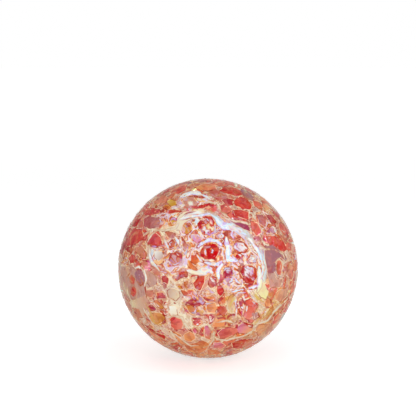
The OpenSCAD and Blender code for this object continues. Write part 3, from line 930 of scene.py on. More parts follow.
def paintStreams(piece):
    directions = wanderingDirections(piece, blend["wander"])
    total = np.full((len(directions), 1), blend["start"])
    colors = total * np.array(linear(tints["tan"]))
    for name, width, weight, course in plannedStreams:
        away, along = distanceToCourse(directions, course)
        amount = (weight * np.exp(-(away / width) ** 2))[:, None]
        total = total + amount
        colors = colors + amount * np.array(linear(tints[name]))
    colors = colors / total
    low, high = blend["rim"]
    inward = np.clip((directions @ np.array(showFace) - low) / (high - low), 0, 1)
    low, high = blend["streamed"]
    colors[:, 3] = np.maximum(inward, np.clip((total[:, 0] - low) / (high - low), 0, 1))
    writeColors(piece.data, "pool", colors)


def paintStrands(piece):
    directions = wanderingDirections(piece, blend["strandWander"])
    colors = np.tile(linear(tints["cream"]), (len(directions), 1))
    cover = np.zeros(len(directions))
    for name, width, course in plannedStrands:
        middle = sum(course) / len(course)
        near = nearby(directions, middle, max(np.linalg.norm(p - middle) for p in course) + 3 * width)
        if len(near):
            away, along = distanceToCourse(directions[near], course)
            narrowed = width * (blend["tip"] + (1 - blend["tip"]) * np.sin(np.pi * along) ** 0.7)
            amount = np.clip(1 - away / (2 * narrowed), 0, 1)
            blended = np.clip(2 * amount, 0, 1)[:, None]
            colors[near] += blended * (np.array(linear(tints[name])) - colors[near])
            cover[near] = np.maximum(cover[near], amount * min(1, 0.7 + 10 * width))
    colors[:, 3] = cover
    writeColors(piece.data, "strand", colors)


def insideOutline(points, corners):
    # how far each point lies inside a flat outline, negative outside
    best = np.full(len(points), 9.0)
    inside = np.zeros(len(points), bool)
    for a, b in zip(corners, np.roll(corners, -1, axis=0)):
        side = b - a
        share = np.clip((points - a) @ side / max(side @ side, 1e-12), 0, 1)
        best = np.minimum(best, np.linalg.norm(points - a - share[:, None] * side, axis=1))
        crosses = (points[:, 1] < a[1]) != (points[:, 1] < b[1])
        at = a[0] + (points[:, 1] - a[1]) * side[0] / (side[1] if abs(side[1]) > 1e-9 else 1e-9)
        inside ^= crosses & (points[:, 0] < at)
    return np.where(inside, best, -best)


def deepened(tint):
    # written deeper than it shows, because the gloss lays a pale veil over it
    return np.clip((np.array(linear(tint)[:3]) - blend["veil"]) / blend["light"], 0.003, 0.95)


def paintPatches(piece):
    # alpha is 0.5 on a patch's outline and grows inwards
    directions = wanderingDirections(piece, blend["patchWander"])
    colors = np.zeros((len(directions), 4))
    for tint, shade, corners in plannedPatches:
        up = Vector(sum(corners)).normalized()
        east = up.orthogonal().normalized()
        axes = np.array([east, up.cross(east)]).T
        middle = np.array(up)
        reach = max(np.linalg.norm(corner - middle) for corner in corners) + 2 * blend["patchEdge"]
        near = nearby(directions, middle, reach)
        if len(near):
            flat = directions[near] @ axes / (directions[near] @ middle)[:, None]
            outline = np.array(corners) @ axes / (np.array(corners) @ middle)[:, None]
            alpha = np.clip(0.5 + insideOutline(flat, outline) / (2 * blend["patchEdge"]), 0, 1)
            lean = np.clip(0.45 + 0.5 * (flat @ outline[0]) / (outline[0] @ outline[0]), 0, 1)[:, None]
            color = deepened(tint) + lean * (deepened(shade) - deepened(tint))
            over = (alpha > 0.5) | (alpha > colors[near, 3])
            colors[near[over]] = np.column_stack([color, alpha])[over]
    writeColors(piece.data, "patch", colors)


# the weight of the painted sheen and highlights, highest at the places where the ball gleams
def paintGleams(piece):
    directions = unit(readPoints(piece.data))
    total = np.zeros(len(directions))
    for direction, width in plannedGleams:
        total = np.maximum(total, np.exp(-(2 - 2 * directions @ direction) / width ** 2))
    writeValues(piece.data, "gleam", total)


def paintAll(piece):
    paintGleams(piece)
    paintStrands(piece)
    paintPatches(piece)


skin = {
    "cuts": 125,  # squares along one edge of the six-sided grid
    "fill": 0.6,  # how far the glass fills the gaps between chips, as a share of their rise
    "climb": 0.02 * mm,  # how high the glass climbs towards a chip
    "fillet": 0.25 * mm,  # how wide that slope is
    "sink": 0.15 * mm,  # how far it drops away under the chips ...
    "sinkWidth": 0.3 * mm,  # ... at this distance inside their outlines
    "swell": 0.035 * mm,
    "swellSize": 2.6 * mm,
    "swellFrom": 0.8 * mm,  # distance from a chip at which the swell is full
}


def buildSkin(chipPieces):
    verts = []
    faces = []
    for piece in chipPieces:
        start = len(verts)
        verts += readPoints(piece.data).tolist()
        faces += [[start + i for i in f.vertices] for f in piece.data.polygons]
    tree = BVHTree.FromPolygons(verts, faces)
    deselectAll()
    bpy.ops.mesh.primitive_cube_add(size=2)
    piece = bpy.context.object
    piece.name = "baseGlass"
    bpy.ops.object.mode_set(mode="EDIT")
    bpy.ops.mesh.subdivide(number_cuts=skin["cuts"])
    bpy.ops.transform.tosphere(value=1)
    bpy.ops.object.mode_set(mode="OBJECT")
    co = unit(readPoints(piece.data))
    level = baseRadius + skin["fill"] * (ballRadius - baseRadius)
    shore = np.empty(len(co))
    for k, direction in enumerate(co):
        point = Vector(direction) * level
        near, normal, index, distance = tree.find_nearest(point)
        shore[k] = distance if (point - near).dot(normal) > 0 else -distance
    outside = np.clip(shore, 0, None)
    fillet = skin["climb"] * np.exp(-(outside / skin["fillet"]) ** 2)
    swell = skin["swell"] * noiseAt(co * ballRadius, skin["swellSize"], 9)
    swell *= np.clip(outside / skin["swellFrom"], 0, 1)
    sunk = skin["sink"] * np.clip(-shore / skin["sinkWidth"], 0, 1)
    writePoints(piece.data, co * (level + fillet + swell - sunk)[:, None])
    writeValues(piece.data, "shore", shore / mm)
    bpy.ops.object.shade_smooth()
    return piece


shard = {
    "count": 1100,
    "shapes": 6,
    "length": (0.28 * mm, 1.15 * mm),
    "slimness": (0.4, 0.9),  # width as a share of the length
    "deep": 0.35 * mm,
    "crowding": (-0.35, 0.1),  # where a slow noise lies below a number between these, there is no shard
    "crowdSize": 3.2,  # waves of that noise along the radius
    "tilt": math.radians(6),
    "proud": -0.01 * mm,  # how far above the ball's outline the highest corner stands
    "uneven": 0.14,  # how far a corner lies from its even place, as a share of the width
    "bevel": 0.06,
    "stray": 0.03,  # how far a shard lies from its even place, as a share of the ball's radius
}


def modelShard(corners):
    deselectAll()
    bpy.ops.mesh.primitive_cylinder_add(vertices=corners, radius=0.5, depth=1)
    model = bpy.context.object
    bpy.ops.object.mode_set(mode="EDIT")
    bm = bmesh.from_edit_mesh(model.data)
    uneven = (-shard["uneven"], shard["uneven"])
    shifts = [(random.uniform(*uneven), random.uniform(*uneven)) for k in range(corners)]
    for vert in bm.verts:
        k = round(math.atan2(vert.co.y, vert.co.x) / (2 * math.pi) * corners) % corners
        vert.co.x += shifts[k][0]
        vert.co.y += shifts[k][1]
    bmesh.update_edit_mesh(model.data)
    bpy.ops.mesh.select_all(action="DESELECT")
    bm = bmesh.from_edit_mesh(model.data)
    for edge in bm.edges:
        edge.select_set(edge.verts[0].co.z > 0 and edge.verts[1].co.z > 0)
    bmesh.update_edit_mesh(model.data)
    bpy.ops.mesh.bevel(offset=shard["bevel"], segments=2, affect="EDGES")
    bpy.ops.object.mode_set(mode="OBJECT")
    points = readPoints(model.data)
    points[:, 2] -= 0.5
    faces = [list(f.vertices) for f in model.data.polygons]
    bpy.data.objects.remove(model)
    return points, faces


def scatterShards():
    shapes = [modelShard(4 + k % 3) for k in range(shard["shapes"])]
    points = []
    faces = []
    tones = []
    edges = []
    golden = math.pi * (3 - math.sqrt(5))
    shortest, longest = shard["length"]
    for k in range(shard["count"]):
        z = 1 - (2 * k + 1) / shard["count"]
        turn = k * golden
        middle = Vector((math.sqrt(1 - z * z) * math.cos(turn), math.sqrt(1 - z * z) * math.sin(turn), z))
        middle += randomVector() * shard["stray"]
        middle.normalize()
        crowd = noise.noise(middle * shard["crowdSize"] + Vector((5, 1, 2)))
        length = shortest + (longest - shortest) * random.random() ** 2
        slim = length * random.uniform(*shard["slimness"])
        leans = [random.uniform(-shard["tilt"], shard["tilt"]) for axis in range(2)]
        spin = random.uniform(0, 2 * math.pi)
        tone = random.random()
        if middle.z < -0.99 or crowd < random.uniform(*shard["crowding"]):
            continue
        own, ownFaces = random.choice(shapes)
        turned = middle.to_track_quat("Z", "Y").to_matrix() @ Matrix.Rotation(leans[0], 3, "X") @ \
            Matrix.Rotation(leans[1], 3, "Y") @ Matrix.Rotation(spin, 3, "Z")
        sized = own * np.array((length, slim, shard["deep"]))
        placed = sized @ np.array(turned).T + np.array(middle) * ballRadius
        drop = np.linalg.norm(placed, axis=1).max() - (ballRadius + shard["proud"])
        faces += [[len(tones) + i for i in f] for f in ownFaces]
        points.append(placed - np.array(middle) * drop)
        tones += [tone] * len(own)
        top = (own[:, 2] > -0.01) & (np.hypot(own[:, 0], own[:, 1]) < 0.46)
        edges += list(np.where(top, 0.12, 0.0))
    mesh = bpy.data.meshes.new("shards")
    mesh.from_pydata(np.concatenate(points).tolist(), [], faces)
    piece = addObject("shards", mesh)
    makeActive(piece)
    writeValues(mesh, "tone", tones)
    writeValues(mesh, "edge", edges)
    for name in ("side", "facet", "shatter"):
        writeValues(mesh, name, np.zeros(len(tones)))
    bpy.ops.object.shade_flat()
    return piece


def newMaterial(name):
    material = bpy.data.materials.new(name)
    material.use_nodes = True
    return material, material.node_tree, material.node_tree.nodes["Principled BSDF"]


def newGroup(name, inputs, outputs):
    tree = bpy.data.node_groups.new(name, "ShaderNodeTree")
    for kind, label, value in inputs:
        tree.interface.new_socket(label, in_out="INPUT", socket_type=kind).default_value = value
    for kind, label in outputs:
        tree.interface.new_socket(label, in_out="OUTPUT", socket_type=kind)
    return tree, tree.nodes.new("NodeGroupInput"), tree.nodes.new("NodeGroupOutput")


def fillSockets(tree, node, values):
    # a link where the value is another node's socket, and a fixed value otherwise
    for key, value in values.items():
        if isinstance(value, bpy.types.NodeSocket):
            tree.links.new(value, node.inputs[key])
        else:
            node.inputs[key].default_value = value


def newNode(tree, kind, values={}, **settings):
    node = tree.nodes.new("ShaderNode" + kind)
    for key, value in settings.items():
        setattr(node, key, value)
    fillSockets(tree, node, values)
    return node


def combine(tree, operation, first, second=0.0, clamp=False):
    return newNode(tree, "Math", {0: first, 1: second}, operation=operation, use_clamp=clamp).outputs[0]


def times(tree, first, second, clamp=False):
    return combine(tree, "MULTIPLY", first, second, clamp)


def plus(tree, first, second, clamp=False):
    return combine(tree, "ADD", first, second, clamp)


def vectorMath(tree, operation, first, second):
    return newNode(tree, "VectorMath", {0: first, 1: second}, operation=operation)


def mixColors(tree, factor, first, second):
    # the colours are sockets, or red, green and blue up to 255
    first, second = (linear(c) if isinstance(c, tuple) else c for c in (first, second))
    return newNode(tree, "Mix", {0: factor, 6: first, 7: second}, data_type="RGBA").outputs[2]


def overlay(tree, where, color, settings):
    # another colour laid over this one, as strongly as the settings say
    tint, share = settings
    return mixColors(tree, times(tree, where, share), color, tint)


def fillRamp(tree, source, stops, smooth=True):
    node = newNode(tree, "ValToRGB", {"Fac": source})
    node.color_ramp.interpolation = "LINEAR" if smooth else "CONSTANT"
    elements = node.color_ramp.elements
    elements.remove(elements[-1])
    elements[0].position = stops[0][0]
    elements[0].color = linear(stops[0][1])
    for position, rgb in stops[1:]:
        elements.new(position).color = linear(rgb)
    return node.outputs["Color"]


def fade(tree, source, start, end):
    # 0 up to start and 1 from end on, or the other way round where end is the smaller
    values = {"Value": source, "From Min": min(start, end), "From Max": max(start, end),
              "To Min": float(start > end), "To Max": float(start < end)}
    return newNode(tree, "MapRange", values, interpolation_type="SMOOTHSTEP").outputs["Result"]


def placePattern(tree, size, seed):
    place = newNode(tree, "TexCoord").outputs["Object"]
    values = {"Vector": place, "Location": (seed, seed * 0.7, seed * 1.9), "Scale": [1 / size] * 3}
    return newNode(tree, "Mapping", values).outputs["Vector"]


def noiseMap(tree, size, detail, seed, distortion=0.0):
    # size in millimetres
    place = placePattern(tree, size * mm, seed)
    values = {"Vector": place, "Scale": 1.0, "Detail": detail, "Distortion": distortion}
    return newNode(tree, "TexNoise", values).outputs["Fac"]


def wobbleMap(tree, size, detail, seed, distortion=0.0):
    # noise to either side of 0
    return combine(tree, "SUBTRACT", noiseMap(tree, size, detail, seed, distortion), 0.5)


def cellMap(tree, place):
    # the cells, and a random number for each from the red and from the green of its colour
    cells = newNode(tree, "TexVoronoi", {"Vector": place, "Scale": 1.0})
    return cells, splitColor(tree, cells.outputs["Color"])


def splitColor(tree, color):
    return newNode(tree, "SeparateColor", {"Color": color}).outputs


def attribute(tree, name):
    return newNode(tree, "Attribute", attribute_name=name).outputs


def placeGroup(tree, group, **values):
    return newNode(tree, "Group", values, node_tree=group)


strandGlass = {
    "breaks": 1.1,  # how much the strands waver and break up
    "plainBank": (206, 156, 104),  # what their sides turn to ...
    "lilacBank": (206, 170, 232),  # ... and where the ball gleams
    # the painted highlight down a strand's middle, and the painted sheen hues along it where the ball gleams
    "middle": (254, 254, 255),
    "fringe": [(0.4, (176, 40, 20)), (0.5, (236, 130, 40)), (0.56, (255, 206, 110)), (0.64, (196, 70, 36))],
    "hues": [(0.6, (206, 160, 232)), (0.68, (255, 250, 252)), (0.75, (182, 226, 250)),
             (0.81, (255, 254, 252)), (0.88, (250, 238, 176)), (0.95, (244, 176, 214))],
}


def overlayStrands(tree, color):
    strand = attribute(tree, "strand")
    gleam = fade(tree, attribute(tree, "gleam")["Fac"], 0.2, 0.45)
    cover = plus(tree, strand["Alpha"], times(tree, wobbleMap(tree, 1.5, 3, 90, 0.5), strandGlass["breaks"]))
    # an orange fringe, most of all where the ball gleams
    fringe = fillRamp(tree, noiseMap(tree, 1.2, 1, 91), strandGlass["fringe"])
    outer = times(tree, fade(tree, cover, 0.26, 0.36), plus(tree, times(tree, gleam, 0.7), 0.15))
    color = mixColors(tree, outer, color, fringe)
    # the strand itself, with painted sheen hues along it where the ball gleams
    bank = mixColors(tree, gleam, strandGlass["plainBank"], strandGlass["lilacBank"])
    tone = mixColors(tree, times(tree, fade(tree, cover, 0.74, 0.56), 0.6), strand["Color"], bank)
    play = plus(tree, times(tree, cover, 0.35), noiseMap(tree, 1.4, 1.5, 93, 0.4))
    tone = mixColors(tree, times(tree, gleam, 0.6), tone, fillRamp(tree, play, strandGlass["hues"]))
    # a painted highlight: white down the strand's middle where the ball gleams
    bright = times(tree, fade(tree, cover, 0.8, 1.05), gleam)
    tone = mixColors(tree, bright, tone, strandGlass["middle"])
    return mixColors(tree, fade(tree, cover, 0.42, 0.58), color, tone)


patchGlass = {
    "light": ((244, 146, 112), 0.25),  # the streaks, and how strong they are
    "deep": ((160, 14, 24), 0.35),
    "paleLine": (254, 228, 184),
    "darkLine": (160, 16, 16),
    "line": 0.85,
}


def overlayPatches(tree, color):
    patch = attribute(tree, "patch")
    inward = plus(tree, patch["Alpha"], times(tree, wobbleMap(tree, 0.7, 2, 95), 0.25))
    # lighter and darker streaks at random, none in the pale pieces
    strong = fade(tree, splitColor(tree, patch["Color"])["Green"], 0.5, 0.3)
    light = times(tree, fade(tree, noiseMap(tree, 1.8, 2, 97, 1.2), 0.5, 0.62), strong)
    deep = times(tree, fade(tree, noiseMap(tree, 2.0, 1, 98, 1.0), 0.46, 0.36), strong)
    tone = overlay(tree, light, patch["Color"], patchGlass["light"])
    tone = overlay(tree, deep, tone, patchGlass["deep"])
    # a pale line round it, dark in places
    family = fade(tree, noiseMap(tree, 1.5, 1, 96), 0.46, 0.52)
    border = mixColors(tree, family, patchGlass["darkLine"], patchGlass["paleLine"])
    tone = mixColors(tree, times(tree, fade(tree, inward, 0.6, 0.51), patchGlass["line"]), tone, border)
    return mixColors(tree, fade(tree, inward, 0.41, 0.47), color, tone)


def besidePatches(tree, amount, left):
    # an amount that drops to a share of itself on the large smooth pieces
    calm = times(tree, fade(tree, attribute(tree, "patch")["Alpha"], 0.42, 0.5), left - 1)
    return times(tree, plus(tree, calm, 1), amount)


glintSpecks = {
    "size": 0.75 * mm,
    "bend": 0.9,
    "tones": [(0, (255, 254, 252)), (0.35, (236, 220, 252)), (0.55, (160, 8, 18)), (0.75, (255, 240, 190)),
              (0.85, (250, 190, 200))],
}


def overlayGlintSpecks(tree, color, amount):
    # small bent flecks in clusters: painted glints of white, lilac, pale yellow and pink, and flecks of deep
    # red
    place = placePattern(tree, glintSpecks["size"], 40)
    noiseColor = newNode(tree, "TexNoise", {"Vector": place, "Scale": 1.4}).outputs["Color"]
    push = vectorMath(tree, "MULTIPLY", noiseColor, [glintSpecks["bend"]] * 3).outputs["Vector"]
    cells, chance = cellMap(tree, vectorMath(tree, "ADD", place, push).outputs["Vector"])
    clusters = times(tree, fade(tree, noiseMap(tree, 2.6, 1, 41), 0.53, 0.58), amount, True)
    picked = fade(tree, chance["Red"], 0.45, 0.5)
    fleck = times(tree, fade(tree, cells.outputs["Distance"], 0.32, 0.22), picked)
    tone = fillRamp(tree, chance["Green"], glintSpecks["tones"], False)
    return mixColors(tree, times(tree, fleck, clusters), color, tone)


# painted pearly sheen: a play of hues laid over the colour in places
sheenHues = [(0.3, (232, 130, 40)), (0.38, (254, 248, 252)), (0.44, (200, 186, 240)), (0.49, (255, 206, 100)),
             (0.53, (214, 50, 24)), (0.58, (255, 252, 246)), (0.64, (206, 140, 214)), (0.7, (250, 170, 70))]
grey = (0.5, 0.5, 0.5, 1)


def buildPaintedSheen():
    tree, entry, leave = newGroup(
        "paintedSheen",
        [("NodeSocketColor", "Color", grey), ("NodeSocketFloat", "Amount", 0.3)],
        [("NodeSocketColor", "Color")])
    hues = fillRamp(tree, noiseMap(tree, 2.2, 1, 4, 1.0), sheenHues)
    where = fade(tree, noiseMap(tree, 1.7, 1.5, 8, 0.6), 0.48, 0.56)
    amount = times(tree, where, entry.outputs["Amount"], True)
    fillSockets(tree, leave, {"Color": mixColors(tree, amount, entry.outputs["Color"], hues)})
    return tree


# tones of a shattered chip's facets; the cream and white ones are painted glints
shatterTones = [(0, (160, 20, 34)), (0.18, (210, 60, 44)), (0.4, (222, 110, 80)), (0.56, (250, 232, 214)),
                (0.68, (226, 120, 140)), (0.8, (238, 170, 84)), (0.9, (255, 250, 244))]


def buildShatter():
    # bright and dark facets, the brightest painted glints, with finer ones tilted at random inside them, for
    # chips like crushed ice
    tree, entry, leave = newGroup(
        "shatteredGlass",
        [("NodeSocketColor", "Color", grey), ("NodeSocketFloat", "Facet", 0.0),
         ("NodeSocketFloat", "Amount", 1.0)],
        [("NodeSocketColor", "Color"), ("NodeSocketFloat", "Height")])
    place = placePattern(tree, 0.75 * mm, 2)
    cells, chance = cellMap(tree, place)
    tilt = vectorMath(tree, "SUBTRACT", cells.outputs["Color"], (0.5, 0.5, 0.5)).outputs["Vector"]
    offset = vectorMath(tree, "SUBTRACT", place, cells.outputs["Position"]).outputs["Vector"]
    height = vectorMath(tree, "DOT_PRODUCT", tilt, offset).outputs["Value"]
    pick = plus(tree, times(tree, entry.outputs["Facet"], 0.3), chance["Red"])
    tones = fillRamp(tree, pick, shatterTones, False)
    amount = times(tree, entry.outputs["Amount"], 0.8, True)
    fillSockets(tree, leave, {"Color": mixColors(tree, amount, entry.outputs["Color"], tones),
                              "Height": times(tree, height, entry.outputs["Amount"])})
    return tree


rippleLines = [(0.4, 0.03, "Pale"), (0.45, 0.022, "Dark"), (0.5, 0.03, "Pale"), (0.57, 0.024, "Dark")]


def buildRipples():
    # thin wavy lines where the clear glass on top bends the light, in some places
    tree, entry, leave = newGroup(
        "rippleLines",
        [("NodeSocketColor", "Color", grey), ("NodeSocketColor", "Pale", (1, 1, 1, 1)),
         ("NodeSocketColor", "Dark", (0.2, 0, 0, 1)), ("NodeSocketFloat", "Amount", 1.0)],
        [("NodeSocketColor", "Color")])
    waves = noiseMap(tree, 2.0, 2, 60, 1.1)
    where = fade(tree, noiseMap(tree, 2.2, 1, 70), 0.42, 0.56)
    amount = times(tree, where, entry.outputs["Amount"], True)
    color = entry.outputs["Color"]
    for level, width, socket in rippleLines:
        away = combine(tree, "ABSOLUTE", combine(tree, "SUBTRACT", waves, level))
        line = times(tree, fade(tree, away, width, width * 0.3), amount)
        color = mixColors(tree, line, color, entry.outputs[socket])
    fillSockets(tree, leave, {"Color": color})
    return tree


sheenGroup = buildPaintedSheen()
shatterGroup = buildShatter()
rippleGroup = buildRipples()


def finishGlass(tree, shader, glass, color, height):
    # the gloss, and small waves in the melted surface
    values = {"Strength": glass["bump"], "Distance": glass["bumpDepth"], "Height": height}
    bump = newNode(tree, "Bump", values)
    fillSockets(tree, shader, {"Base Color": color, "Normal": bump.outputs["Normal"],
                               "Roughness": glass["roughness"], "IOR": glass["ior"]})


chipGlass = {
    # the side turn is painted light and shade across each chip
    "sideTurn": 0.2,  # how much a chip's colour turns from one side to the other ...
    "noiseTurn": 0.15,  # ... and from place to place
    # painted shade on the far side of the bevels, and painted light on the near side
    "shadedBevel": ((186, 10, 18), (150, 30, 64), 0.85),  # two colours, and how strong they are
    "litBevel": ((240, 140, 80), (254, 226, 180), 0.28),
    "streaks": ((232, 120, 90), 0.14),
    "innerLine": ((240, 150, 70), 0.7),
    "border": ((252, 214, 156), (160, 16, 14), 0.7),
    "ripples": 0.2,
    "rippleColors": ((250, 200, 150), (166, 14, 24)),
    # painted pearly sheen all over the chips, and more where the ball gleams
    "pearl": 0.08,
    "gleam": 0.55,
    "specks": 0.95,
    "bump": 0.3,
    "bumpDepth": 0.1 * mm,
    "roughness": 0.06,
    "film": 480,  # nanometres of the lustre: warm at the rim, rosy further in
    "filmIor": 1.28,
    "ior": 1.16,
}


def twoTone(tree, turn, where, color, settings):
    # two colours by turns, laid over another
    first, second, share = settings
    return overlay(tree, where, color, (mixColors(tree, turn, first, second), share))


def rippled(tree, color, amount, left, colors):
    pale, dark = colors
    return placeGroup(tree, rippleGroup, Color=color, Amount=besidePatches(tree, amount, left),
                      Pale=linear(pale), Dark=linear(dark)).outputs["Color"]


def withPaintedSheen(tree, color, amount, left):
    amount = besidePatches(tree, amount, left)
    return placeGroup(tree, sheenGroup, Color=color, Amount=amount).outputs["Color"]


def chipMaterial(name, tones, heart, heartShare):
    material, tree, shader = newMaterial(name)
    edge, facet, gleam, tone, side, broken = (
        attribute(tree, layer)["Fac"] for layer in ("edge", "facet", "gleam", "tone", "side", "shatter"))
    wobble = wobbleMap(tree, 1.1, 1.5, 6, 0.8)
    # the body colour: one tone for each chip, with painted light and shade turning it a little from side to
    # side
    spot = plus(tree, tone, times(tree, side, chipGlass["sideTurn"]), True)
    spot = plus(tree, spot, times(tree, wobble, chipGlass["noiseTurn"]), True)
    body = fillRamp(tree, spot, tones)
    # the heart of the chip: painted light that comes back through the glass
    centre = times(tree, fade(tree, plus(tree, edge, wobble), 0.4, 0.62), heartShare)
    centre = times(tree, centre, plus(tree, times(tree, gleam, 0.65), 0.35))
    body = mixColors(tree, centre, body, heart)
    # bevels: painted shade in deep red and wine on one side, painted light in rose and cream on the other
    turn = fade(tree, wobble, -0.05, 0.08)
    body = twoTone(tree, turn, fade(tree, facet, -0.4, -0.6), body, chipGlass["shadedBevel"])
    turn = fade(tree, wobble, -0.04, 0.06)
    body = twoTone(tree, turn, fade(tree, facet, 0.75, 0.95), body, chipGlass["litBevel"])
    # soft streaks inside the glass
    streaks = fade(tree, noiseMap(tree, 1.8, 1.5, 15, 1.5), 0.54, 0.6)
    body = overlay(tree, streaks, body, chipGlass["streaks"])
    # a thin line round the border: cream, and in places dark red, with an orange one inside where it gleams
    wavy = plus(tree, edge, times(tree, wobble, 0.25))
    inner = times(tree, fade(tree, wavy, 0.26, 0.2), fade(tree, gleam, 0.25, 0.5))
    body = overlay(tree, inner, body, chipGlass["innerLine"])
    family = fade(tree, noiseMap(tree, 1.6, 1, 44), 0.48, 0.54)
    body = twoTone(tree, family, fade(tree, wavy, 0.15, 0.09), body, chipGlass["border"])
    shattered = placeGroup(tree, shatterGroup, Color=body, Facet=facet, Amount=broken)
    body = overlayPatches(tree, shattered.outputs["Color"])
    body = rippled(tree, body, chipGlass["ripples"], 0.2, chipGlass["rippleColors"])
    # painted pearly sheen
    lustre = plus(tree, times(tree, gleam, chipGlass["gleam"]), chipGlass["pearl"], True)
    body = withPaintedSheen(tree, body, lustre, 0.6)
    # painted glints and deep red flecks, fewer on the large smooth pieces
    body = overlayGlintSpecks(tree, body, besidePatches(tree, chipGlass["specks"], 0.25))
    height = plus(tree, noiseMap(tree, 1.3, 1.5, 20), shattered.outputs["Height"])
    finishGlass(tree, shader, chipGlass, overlayStrands(tree, body), height)
    fillSockets(tree, shader, {"Thin Film Thickness": chipGlass["film"],
                               "Thin Film IOR": chipGlass["filmIor"]})
    return material


# the clear glass between the chips, with rings beside them, which start at the chip
veinGlass = {
    "rings": 0.9,  # millimetres from the chip to the last ring
    "creamRings": [(0, (190, 70, 30)), (0.06, (240, 180, 100)), (0.12, (254, 242, 214)),
                   (0.34, (252, 236, 204)), (0.42, (206, 150, 100)), (0.52, (246, 226, 190))],
    "rosyRings": [(0, (206, 40, 26)), (0.12, (212, 84, 58)), (0.22, (226, 130, 100)), (0.34, (200, 96, 76)),
                  (0.5, (222, 140, 112))],
    "rosy": 0.9,  # how rosy the rosy ones are
    # painted sheen: rainbow rings where the ball gleams
    "rainbow": [(0.36, (160, 24, 24)), (0.43, (206, 70, 50)), (0.47, (250, 160, 84)), (0.5, (255, 236, 190)),
                (0.54, (252, 250, 250)), (0.58, (216, 176, 232)), (0.63, (252, 246, 250)),
                (0.67, (214, 90, 84)), (0.71, (176, 34, 36)), (0.75, (246, 166, 100)), (0.8, (255, 244, 230)),
                (0.9, (208, 230, 246))],
    "gleaming": 0.8,  # how strong the rainbow is where the ball gleams
    "rim": [(0.38, (160, 16, 26)), (0.45, (214, 62, 50)), (0.5, (230, 118, 70)), (0.56, (214, 70, 60)),
            (0.66, (244, 184, 144))],
    "ripples": 0.6,
    "rippleColors": ((250, 242, 220), (190, 140, 100)),
    # painted pearly sheen
    "pearl": 0.15,
    "roughness": 0.08,
    "bump": 0.12,
    "bumpDepth": 0.12 * mm,
    "ior": 1.08,
}


def veinMaterial():
    material, tree, shader = newMaterial("veinGlass")
    pool = attribute(tree, "pool")
    gleam = attribute(tree, "gleam")["Fac"]
    shore = plus(tree, attribute(tree, "shore")["Fac"], times(tree, wobbleMap(tree, 0.6, 2, 3, 0.8), 0.3))
    spot = times(tree, shore, 1 / veinGlass["rings"], True)
    # the ground: streams and pools of tinted glass, and rosy glass towards the rim
    rim = fillRamp(tree, noiseMap(tree, 1.4, 2, 47, 0.8), veinGlass["rim"])
    ground = mixColors(tree, pool["Alpha"], rim, pool["Color"])
    # beside the chips lie rings: cream ones, rosy ones in places, and where the ball gleams, rainbow rings of
    # painted sheen
    family = fade(tree, noiseMap(tree, 2.2, 2, 40, 0.4), 0.5, 0.56)
    cream = fillRamp(tree, spot, veinGlass["creamRings"])
    rosy = fillRamp(tree, spot, veinGlass["rosyRings"])
    rings = mixColors(tree, times(tree, family, veinGlass["rosy"]), cream, rosy)
    strength = plus(tree, times(tree, pool["Alpha"], 0.4), 0.2)
    color = mixColors(tree, times(tree, fade(tree, spot, 0.75, 0.4), strength), ground, rings)
    play = plus(tree, times(tree, spot, 0.4), noiseMap(tree, 2.3, 1.5, 44, 0.8))
    gleaming = times(tree, fade(tree, gleam, 0.25, 0.5), veinGlass["gleaming"])
    color = mixColors(tree, gleaming, color, fillRamp(tree, play, veinGlass["rainbow"]))
    color = overlayPatches(tree, color)
    color = rippled(tree, color, veinGlass["ripples"], 0.1, veinGlass["rippleColors"])
    # painted pearly sheen
    color = withPaintedSheen(tree, color, veinGlass["pearl"], 0.3)
    finishGlass(tree, shader, veinGlass, overlayStrands(tree, color), noiseMap(tree, 0.9, 2, 30, 0.5))
    return material


palettes = {
    "coral": [(0, (190, 22, 18)), (0.3, (210, 50, 38)), (0.6, (220, 74, 52)), (1, (228, 100, 72))],
    "red": [(0, (176, 4, 12)), (0.4, (204, 10, 8)), (0.75, (212, 30, 14)), (1, (190, 8, 26))],
    "orange": [(0, (220, 98, 44)), (0.5, (234, 128, 62)), (1, (240, 156, 86))],
    "amber": [(0, (200, 100, 14)), (0.5, (212, 134, 22)), (1, (214, 150, 54))],
    "rose": [(0, (180, 26, 48)), (0.5, (204, 62, 76)), (1, (214, 96, 104))],
    "clear": [(0, (208, 74, 54)), (0.5, (220, 124, 98)), (1, (200, 104, 100))],
    "grit": [(0, (186, 22, 14)), (0.5, (212, 76, 40)), (1, (222, 144, 78))],
    "shard": [(0, (170, 6, 20)), (0.14, (204, 26, 16)), (0.3, (214, 74, 44)), (0.5, (220, 118, 56)),
              (0.66, (244, 232, 204)), (0.74, (222, 120, 100)), (0.84, (206, 56, 40)),
              (0.92, (200, 150, 166)), (1, (222, 158, 70))],
}

# the painted light at the heart of the chips, and how strong it is
hearts = {
    "coral": ((218, 88, 68), 0.5),
    "red": ((222, 46, 30), 0.5),
    "orange": ((232, 130, 62), 0.5),
    "amber": ((218, 144, 48), 0.5),
    "rose": ((206, 104, 134), 0.5),
    "clear": ((230, 206, 222), 0.7),
    "grit": ((226, 116, 66), 0.5),
    "shard": ((226, 150, 110), 0.3),
}

# for each node: the piece, its palette, its finish and its shattered share
chipNodes = {
    "resting_chip": ("restingChip", "coral", "coral_glass", 0.0),
    "coral_chips": ("coralChips", "coral", "coral_glass", 0.06),
    "red_chips": ("redChips", "red", "red_glass", 0.08),
    "orange_chips": ("orangeChips", "orange", "orange_glass", 0.05),
    "amber_chips": ("amberChips", "amber", "amber_glass", 0.05),
    "rose_chips": ("roseChips", "rose", "rose_glass", 0.15),
    "clear_chips": ("clearChips", "clear", "clear_glass", 0.4),
    "fine_grit": ("fineGrit", "grit", "grit_glass", 0.15),
}

plannedStreams = planStreams()
plannedStrands = planStrands()
plannedPatches = planPatches()
planLines()
plannedGleams = planGleams()
print(len(plannedStreams), "streams", len(plannedStrands), "strands", len(plannedPatches), "patches")

